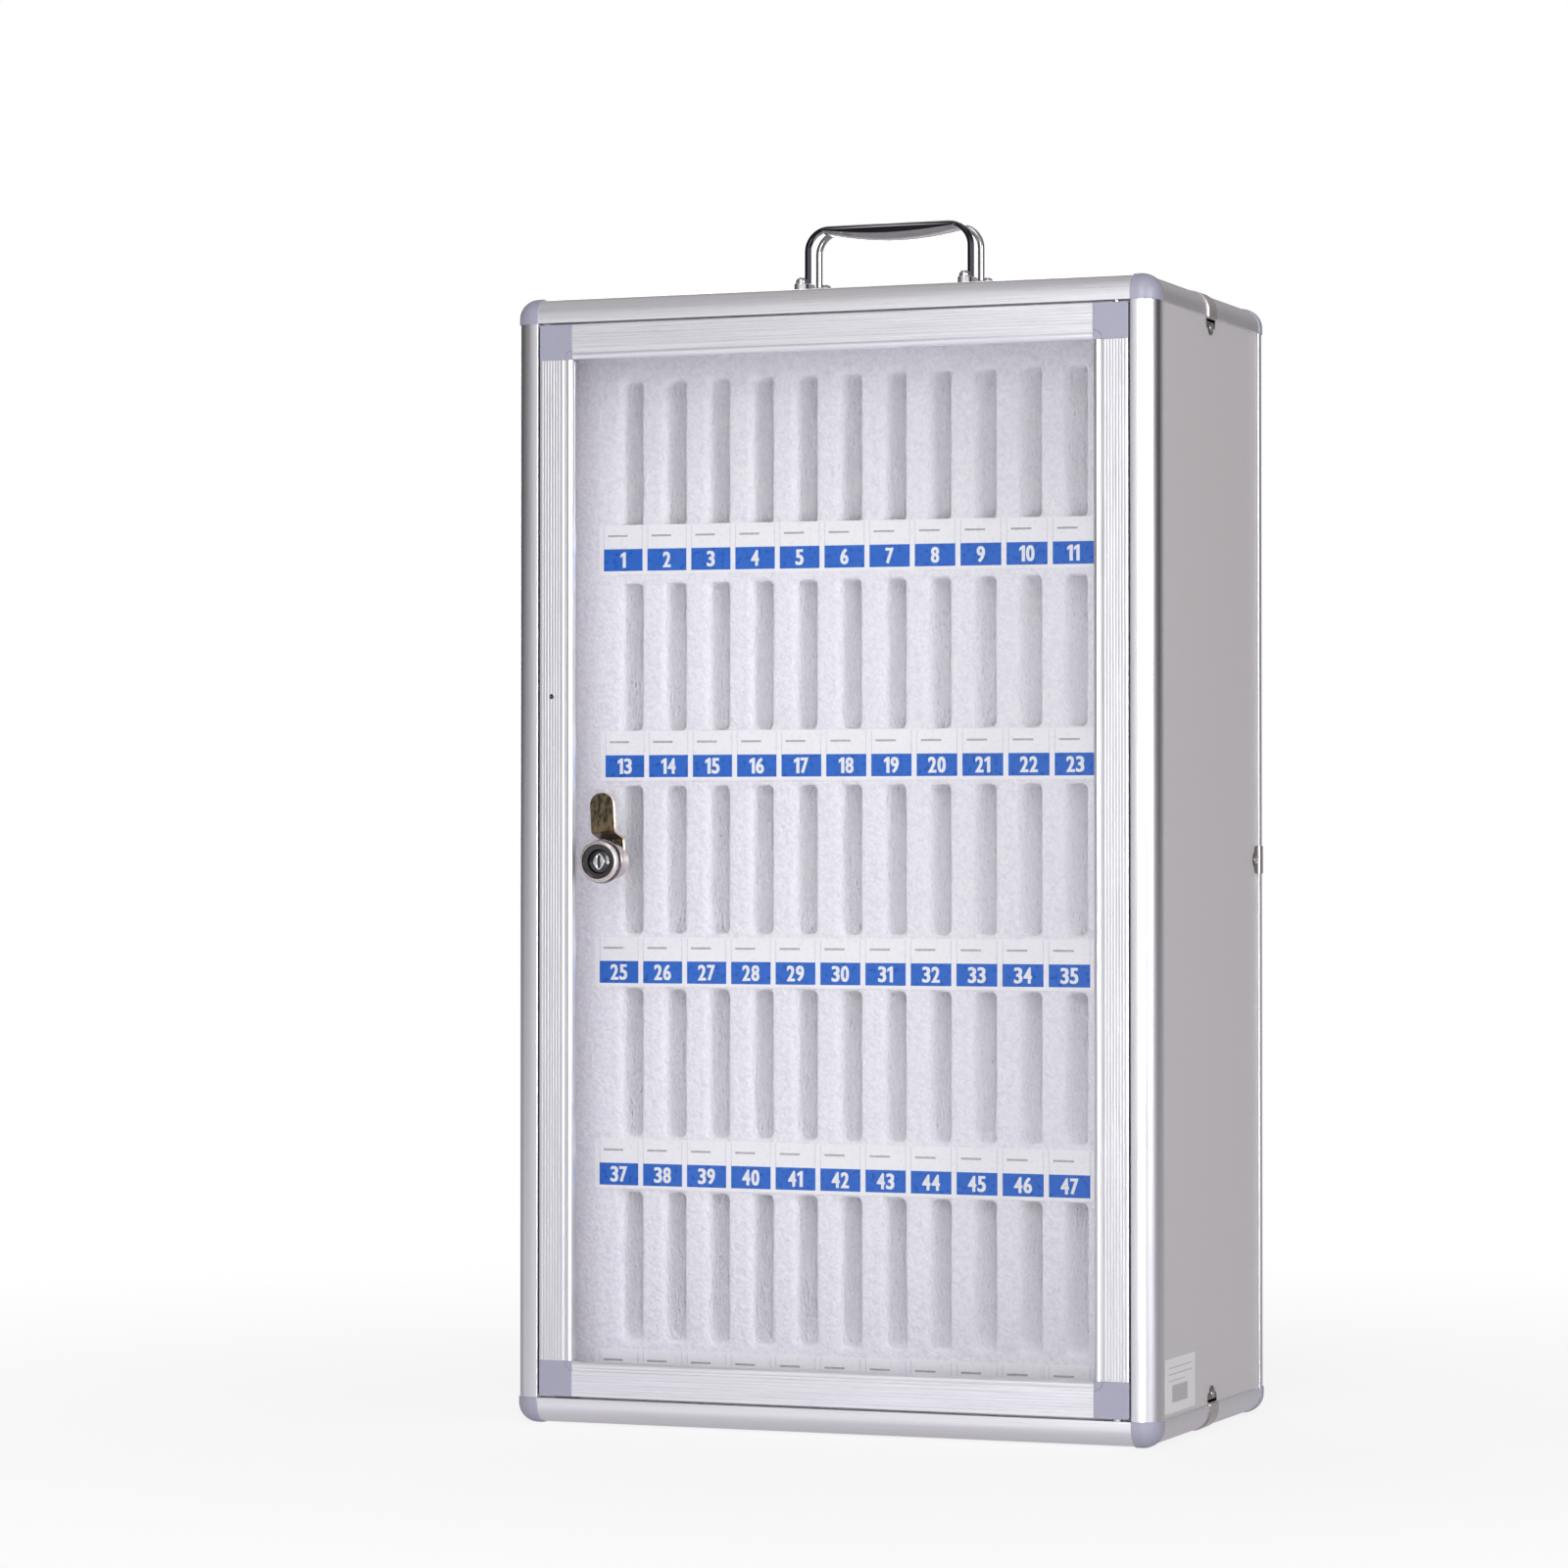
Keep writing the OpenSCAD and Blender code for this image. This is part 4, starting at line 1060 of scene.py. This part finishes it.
def foam_back():
    low, high = box_mm("foam_back_sheet")
    soft = 1.5
    loop = rounded([(low.x, low.z, 4), (high.x, low.z, 4), (high.x, high.z, 4), (low.x, high.z, 4)])
    middle = (low + high) / 2
    rings = []
    for inset, y in ((soft, low.y), (0.4, low.y + 0.4), (0, low.y + soft), (0, high.y - soft),
                     (0.4, high.y - 0.4), (soft, high.y)):
        part_x = 1 - inset / (high.x - middle.x)
        part_z = 1 - inset / (high.z - middle.z)
        rings.append([(middle.x + (x - middle.x) * part_x, y, middle.z + (z - middle.z) * part_z)
                      for x, z in loop])
    obj = piece("foam_backing", Shape().loft(rings), "carcass", [FOAM],
                ["foam_back_sheet"], sharp=80)


# Labels

LABEL_H = 27.0
LABEL_W = 311.0
LABEL_LEFT = (5.0, 4.0, 7.4, 7.4, 7.4)
LABEL_OVER = 13.6
LABEL_DROP = (0.4, 1.5, 2.8, 2.4, 5.2)
# How far each strip's left and right ends sit above its level place
LABEL_TILT = ((2.0, 0.1), (1.1, 0.4), (0.8, 0.7), (1.0, 0.0), (0.0, 0.3))
LABEL_PITCH = 25.77
BOX_W, BOX_H = 22.9, 12.0
BOX_IN = 2.8
BOX_UP = 1.9
DIGIT_H = 8.5
PRINT_T = 0.03


def slab(shape, put, x, z, w, h):
    """A thin printed patch, w wide and h high, with its lower left corner at x and z."""
    shape.prism([(x, z), (x + w, z), (x + w, z + h), (x, z + h)], 0, PRINT_T, put)


# The figure 1, drawn 1 high
ONE = [(0.16, 0.0), (0.38, 0.0), (0.38, 1.0), (0.22, 1.0), (0.0, 0.84), (0.0, 0.64), (0.16, 0.75)]
FIGURE_W = 0.56
FIGURE_GAP = 0.06
BOLD = 0.06


def figure(character):
    """Points and faces of one bold, narrow figure, 1 high, from its lower left corner."""
    if character == "1":
        return [Vector((x, y, 0)) for x, y in ONE], [tuple(range(len(ONE)))], 0.38
    curve = bpy.data.curves.new("figure", "FONT")
    curve.body = character
    curve.offset = 0.02
    obj = scene_object("figure", curve)
    mesh = made_mesh(obj)
    low, high = [Vector((pick(v.co.x for v in mesh.vertices), pick(v.co.y for v in mesh.vertices)))
                 for pick in (min, max)]
    points, faces = [], []
    for shift in (0.0, BOLD):
        base = len(points)
        for v in mesh.vertices:
            x = (v.co.x - low.x) / (high.x - low.x) * (FIGURE_W - BOLD) + shift
            points.append(Vector((x, (v.co.y - low.y) / (high.y - low.y), shift)))
        faces += [tuple(base + i for i in p.vertices) for p in mesh.polygons]
    bpy.data.objects.remove(obj)
    return points, faces, FIGURE_W


FIGURES = {character: figure(character) for character in "0123456789"}


def number(shape, put, text, mid_x, mid_z, tall):
    """Adds a number, centred on a point of the label."""
    wide = sum(FIGURES[c][2] for c in text) + FIGURE_GAP * (len(text) - 1)
    x = -wide / 2
    for character in text:
        points, faces, figure_w = FIGURES[character]
        shape.add([put(mid_x + (x + p.x) * tall, mid_z + (p.y - 0.5) * tall, 2 * PRINT_T + p.z)
                   for p in points], faces)
        x += figure_w + FIGURE_GAP


def labels():
    low, high = box_mm("label_strips")
    first = FIRST_SLOT + SLOT_W / 2
    strips, boxes, digits, lines, marks = [Shape() for _ in range(5)]
    for row in range(ROWS):
        strip_x = first - LABEL_LEFT[row] - LABEL_OVER
        strip_z = box_mm(f"foam_dividers_row_{row + 1}")[0].z - LABEL_DROP[row] - LABEL_H
        left, right = LABEL_TILT[row]

        def put(a, b, lift, x=strip_x, z=strip_z, left=left, right=right):
            return (x + a, low.y - lift, z + b + left + (right - left) * a / LABEL_W)

        strips.prism(rounded([(0, 0, 1), (LABEL_W, 0, 1), (LABEL_W, LABEL_H, 1), (0, LABEL_H, 1)]),
                     0, low.y - high.y, put)
        for column in range(SLOTS):
            x = BOX_IN + column * LABEL_PITCH
            box_top = BOX_UP + BOX_H
            slab(boxes, put, x, BOX_UP, BOX_W, BOX_H)
            for edge in (x, x + BOX_W - 0.3):
                slab(lines, put, edge, box_top, 0.3, LABEL_H - box_top - 0.6)
            slab(marks, put, x + 2.4, box_top + 6.6, 11.5, 1.1)
            number(digits, put, str(row * SLOTS + column + 1), x + BOX_W / 2,
                   BOX_UP + BOX_H / 2, DIGIT_H)
    piece("label_papers", strips, "carcass", [FILM], ["label_strips"])
    for name, shape, ink in (("boxes", boxes, BLUE_INK), ("numbers", digits, WHITE_INK),
                             ("lines", lines, PALE_INK), ("marks", marks, GREY_INK)):
        piece("label_" + name, shape, "carcass", [ink])


def sticker():
    """The plain sticker on the right panel, with faint empty rules."""
    coat_node("side_sticker", PAPER)
    low, high = box_mm("side_sticker")
    deep, tall = high.y - low.y, high.z - low.z

    def patch(shape, y, z, w, h):
        slab(shape, lambda a, b, s: (high.x + s, a, b), low.y + deep * y, low.z + tall * z,
             deep * w, h)

    rules, field = Shape(), Shape()
    for share, length in ((0.82, 0.8), (0.70, 0.8), (0.58, 0.55)):
        patch(rules, 0.1, share, length, 0.45)
    patch(field, 0.22, 0.18, 0.52, tall * 0.32)
    piece("sticker_rules", rules, "carcass", [GREY_INK])
    piece("sticker_field", field, "carcass", [FIELD_GREY])


# Handle

HANDLE_X, HANDLE_Y, _ = middle_mm("handle")
HANDLE_BASE = box_mm("handle")[0].z
SPAN = 93.6
BAR_Z = 43.3
BAR_R = 1.8
BAR_HALF = 8.5
BEND_R = 12.0
GRIP_T = 9.45
GRIP_DROP = 2.12
GRIP_OUT = 1.5
FOOT_H = 13.5
FOOT_R = 4.0
FOOT_SCREW_Y = 18.5


def handle_point(x, y, z):
    return (HANDLE_X + x, HANDLE_Y + y, HANDLE_BASE + z)


def tube_rings(path, radius, sides=20):
    """Rings round a path that lies in one plane with its side way along Y."""
    rings = []
    side = Vector((0, 1, 0))
    for i, point in enumerate(path):
        way = (path[min(len(path) - 1, i + 1)] - path[max(0, i - 1)]).normalized()
        up = way.cross(side)
        rings.append([point + (side * turn.x + up * turn.y) * radius for turn in ring_ways(sides)])
    return rings


def handle_bars(shape):
    half = SPAN / 2
    for y in (-BAR_HALF, BAR_HALF):
        path = [(-half, FOOT_H - 2), (-half, FOOT_H + 8), (-half, BAR_Z - BEND_R)]
        path += corner_arc((-half + BEND_R, BAR_Z - BEND_R), BEND_R, 180, 90, 12)[1:]
        path += [(x, BAR_Z) for x in (-20, 0, 20)]
        path += corner_arc((half - BEND_R, BAR_Z - BEND_R), BEND_R, 90, 0, 12)
        path += [(half, FOOT_H + 8), (half, FOOT_H - 2)]
        points = [Vector(handle_point(x, y, z)) for x, z in path]
        shape.loft(tube_rings(points, BAR_R))


def handle_grip(shape):
    """A smooth oval sleeve round both bars, fullest in the middle."""
    half = SPAN / 2 - BEND_R * 0.55
    sections = 44
    rings = []
    for i in range(sections + 1):
        t = -1 + 2 * i / sections
        full = max(0.0, math.cos(math.pi / 2 * t)) ** 0.9
        close = min(1.0, (1 - abs(t)) / 0.05)
        close = math.sqrt(1 - (1 - close) ** 2)
        wide = (BAR_HALF + BAR_R + GRIP_OUT * full) * (0.9 + 0.1 * close)
        tall = (BAR_R * 0.95 + (GRIP_T / 2 - BAR_R * 0.95) * full) * max(close, 0.25)
        drop = GRIP_DROP * full + 0.25 * (1 - full)
        ring = []
        for c, s in ring_ways(40):
            y = wide * math.copysign(abs(c) ** 0.8, c)
            z = tall * math.copysign(abs(s) ** 0.95, s)
            ring.append(handle_point(t * half, y, BAR_Z - drop + z))
        rings.append(ring)
    shape.loft(rings)


def foot_outline(inset):
    """A foot seen from above: round at the bar and round at the screw."""
    radius = FOOT_R - inset
    return (corner_arc((0, FOOT_SCREW_Y), radius, 0, 180, 12) +
            corner_arc((0, BAR_HALF), radius, 180, 360, 12))


def handle():
    bars, feet, screws = Shape(), Shape(), Shape()
    handle_bars(bars)
    handle_grip(bars)
    levels = [(0, 0)]
    levels += [(1 - math.cos(a), FOOT_H - 1 + math.sin(a))
               for a in (math.radians(turn) for turn in (0, 30, 60, 90))]
    for x in (-1, 1):
        for y in (-1, 1):
            feet.loft([[handle_point(x * SPAN / 2 + a, y * b, z) for a, b in foot_outline(inset)]
                       for inset, z in levels])
            centre = handle_point(x * SPAN / 2, y * FOOT_SCREW_Y, FOOT_H)
            pan_screw(screws, centre, Matrix.Rotation(0.4 * x + y, 3, "Z"), 3.1, 2.7)
    piece("carry_handle", bars, "carcass", [HANDLE_CHROME], ["handle"], sharp=45)
    piece("handle_feet", feet, "carcass", [CHROME], sharp=45)
    piece("handle_screw_heads", screws, "carcass", [ZINC, PAINTED_DARK_METAL],
          ["handle_screws"], sharp=40)


# Camera, floor, world and lamps


def camera():
    data = bpy.data.cameras.new("camera")
    data.lens = 116.77
    data.sensor_width = 36
    data.clip_end = 60
    obj = scene_object("camera", data)
    obj.location = (0.9471, -2.5830, 0.2989)
    obj.rotation_euler = (math.radians(90.888), 0, math.radians(21.381))
    bpy.context.scene.camera = obj


# What polished and satin metal sees round it: degrees from the front, to the right, and
# the light's level there
ROUND_ABOUT = [(-180, 0.40), (-150, 0.08), (-105, 0.08), (-80, 0.13), (-54, 0.21), (-30, 0.38),
               (-24, 0.53), (-18, 0.85), (-10, 0.90), (78, 0.93), (96, 0.38), (112, 0.06),
               (146, 0.04), (158, 0.30), (168, 0.40), (180, 0.40)]
WARM = (1.0, 0.955, 0.965)
LEVEL = 0.24


def ring_about(tree, way):
    """The colour of the surroundings in the level direction of a vector's parts."""
    turn = math_node(tree, "ARCTAN2", way["X"], math_node(tree, "MULTIPLY", way["Y"], -1.0))
    ring = tree.nodes.new("ShaderNodeValToRGB")
    ring.color_ramp.interpolation = "EASE"
    stops = ring.color_ramp.elements
    for i, (degrees, level) in enumerate(ROUND_ABOUT):
        spot = (degrees + 180) / 360
        stop = stops[i] if i < len(stops) else stops.new(spot)
        stop.position = spot
        tint = WARM if abs(degrees) > 90 else (1, 1, 1)
        stop.color = (*(level * t for t in tint), 1)
    tree.links.new(spread(tree, turn, 0, 1, -math.pi, math.pi), ring.inputs[0])
    return ring.outputs["Color"]


def seen_directly(tree, rays):
    """1 for rays from the camera, straight or through the pane."""
    return math_node(tree, "ADD", rays["Is Camera Ray"], rays["Is Transmission Ray"], clamp=True)


def floor():
    """A pale floor: white far off, and with the case's soft shadow near it."""
    bpy.ops.mesh.primitive_plane_add(size=30, location=(0, 0, -0.0002))
    obj = bpy.context.object
    obj.name = "floor"
    material = bpy.data.materials.new("floor")
    tree, shown = empty_tree(material)
    rays = tree.nodes.new("ShaderNodeLightPath").outputs
    spot = node(tree, "TexCoord", {}, "Object")
    lit = node(tree, "BsdfDiffuse", {"Color": (0.88, 0.88, 0.88)})
    glow = node(tree, "Emission", {"Color": (1, 1, 1)})
    length = node(tree, "VectorMath", {0: spot}, "Value", operation="LENGTH")
    faded = mix_shader(tree, spread(tree, length, 0.82, 1.0, 0.3, 1.1), lit, glow)
    plain = mix_shader(tree, seen_directly(tree, rays), lit, faded)
    # What metal mirrors of the floor: an emission painted darker from near the case's front
    # backwards, as painted shade
    behind = spread(tree, parts(tree, spot)["Y"], 0, 1, -0.13, -0.09)
    mirror_tone_painted_shade = blend_colour(tree, behind, (0.82, 0.81, 0.85), (0.48, 0.46, 0.48))
    mirrored = node(tree, "Emission", {"Color": mirror_tone_painted_shade})
    tree.links.new(mix_shader(tree, rays["Is Glossy Ray"], plain, mirrored), shown)
    obj.data.materials.append(material)


def world():
    """White behind the object, and a plain soft room for light and reflections."""
    data = bpy.data.worlds.new("studio")
    bpy.context.scene.world = data
    tree, shown = empty_tree(data, "World")
    rays = tree.nodes.new("ShaderNodeLightPath").outputs
    way = parts(tree, node(tree, "TexCoord", {}, "Generated"))
    above = spread(tree, way["Z"], 0, 1, 0.42, 0.85)
    behind = spread(tree, way["Y"], 0, 1, -0.45, 0.40)
    sky = blend_colour(tree, behind, (0.46, 0.44, 0.46), (0.48, 0.46, 0.45))
    glossy = blend_colour(tree, above, ring_about(tree, way), sky)
    room = blend_colour(tree, rays["Is Glossy Ray"], (LEVEL, LEVEL, LEVEL * 1.01), glossy)
    final = blend_colour(tree, seen_directly(tree, rays), room, (1.0, 1.0, 1.0))
    tree.links.new(node(tree, "Background", {"Color": final, "Strength": 1.0}), shown)


def lamp(name, spot, size, watts, target=(0, 0, 0.3), mirrored=True):
    data = bpy.data.lights.new(name, "AREA")
    data.shape = "RECTANGLE"
    data.size, data.size_y = size
    data.energy = watts
    obj = scene_object(name, data)
    obj.location = spot
    obj.rotation_euler = (Vector(target) - Vector(spot)).to_track_quat("-Z", "Y").to_euler()
    obj.visible_glossy = mirrored


def lamps():
    lamp("key", (0.65, -2.62, 0.60), (1.0, 1.6), 25.5)
    lamp("side", (2.4, -1.25, 0.8), (1.0, 1.0), 20.5)
    lamp("top", (0.35, -1.6, 2.2), (0.9, 1.4), 10.5)
    lamp("low", (0.45, -1.7, 0.16), (0.5, 0.25), 5.0, target=(0, 0, 0.02))
    lamp("rear", (-1.3, 2.3, 1.1), (1.6, 1.6), 24)
    lamp("left", (-2.3, 0.5, 0.9), (1.0, 1.0), 6, mirrored=False)


# The whole object

camera()
edge_profiles()
corner_connectors()
edge_clips()
door_members()
door_corners()
lock_body()
lock_nuts()
lock_plug()
lock_cam()
cam_screw()
foam_block()
foam_back()
labels()
sticker()
handle()
for panel_side in ("top", "bottom", "left", "right", "back"):
    coat_node(panel_side + "_panel", PANEL)
for steel_part in ("handle_nuts", "hinge_pin_top", "hinge_pin_bottom"):
    coat_node(steel_part, ZINC)
coat_node("door_pane", PANE)
floor()
world()
lamps()
bpy.context.scene.view_settings.view_transform = "Standard"
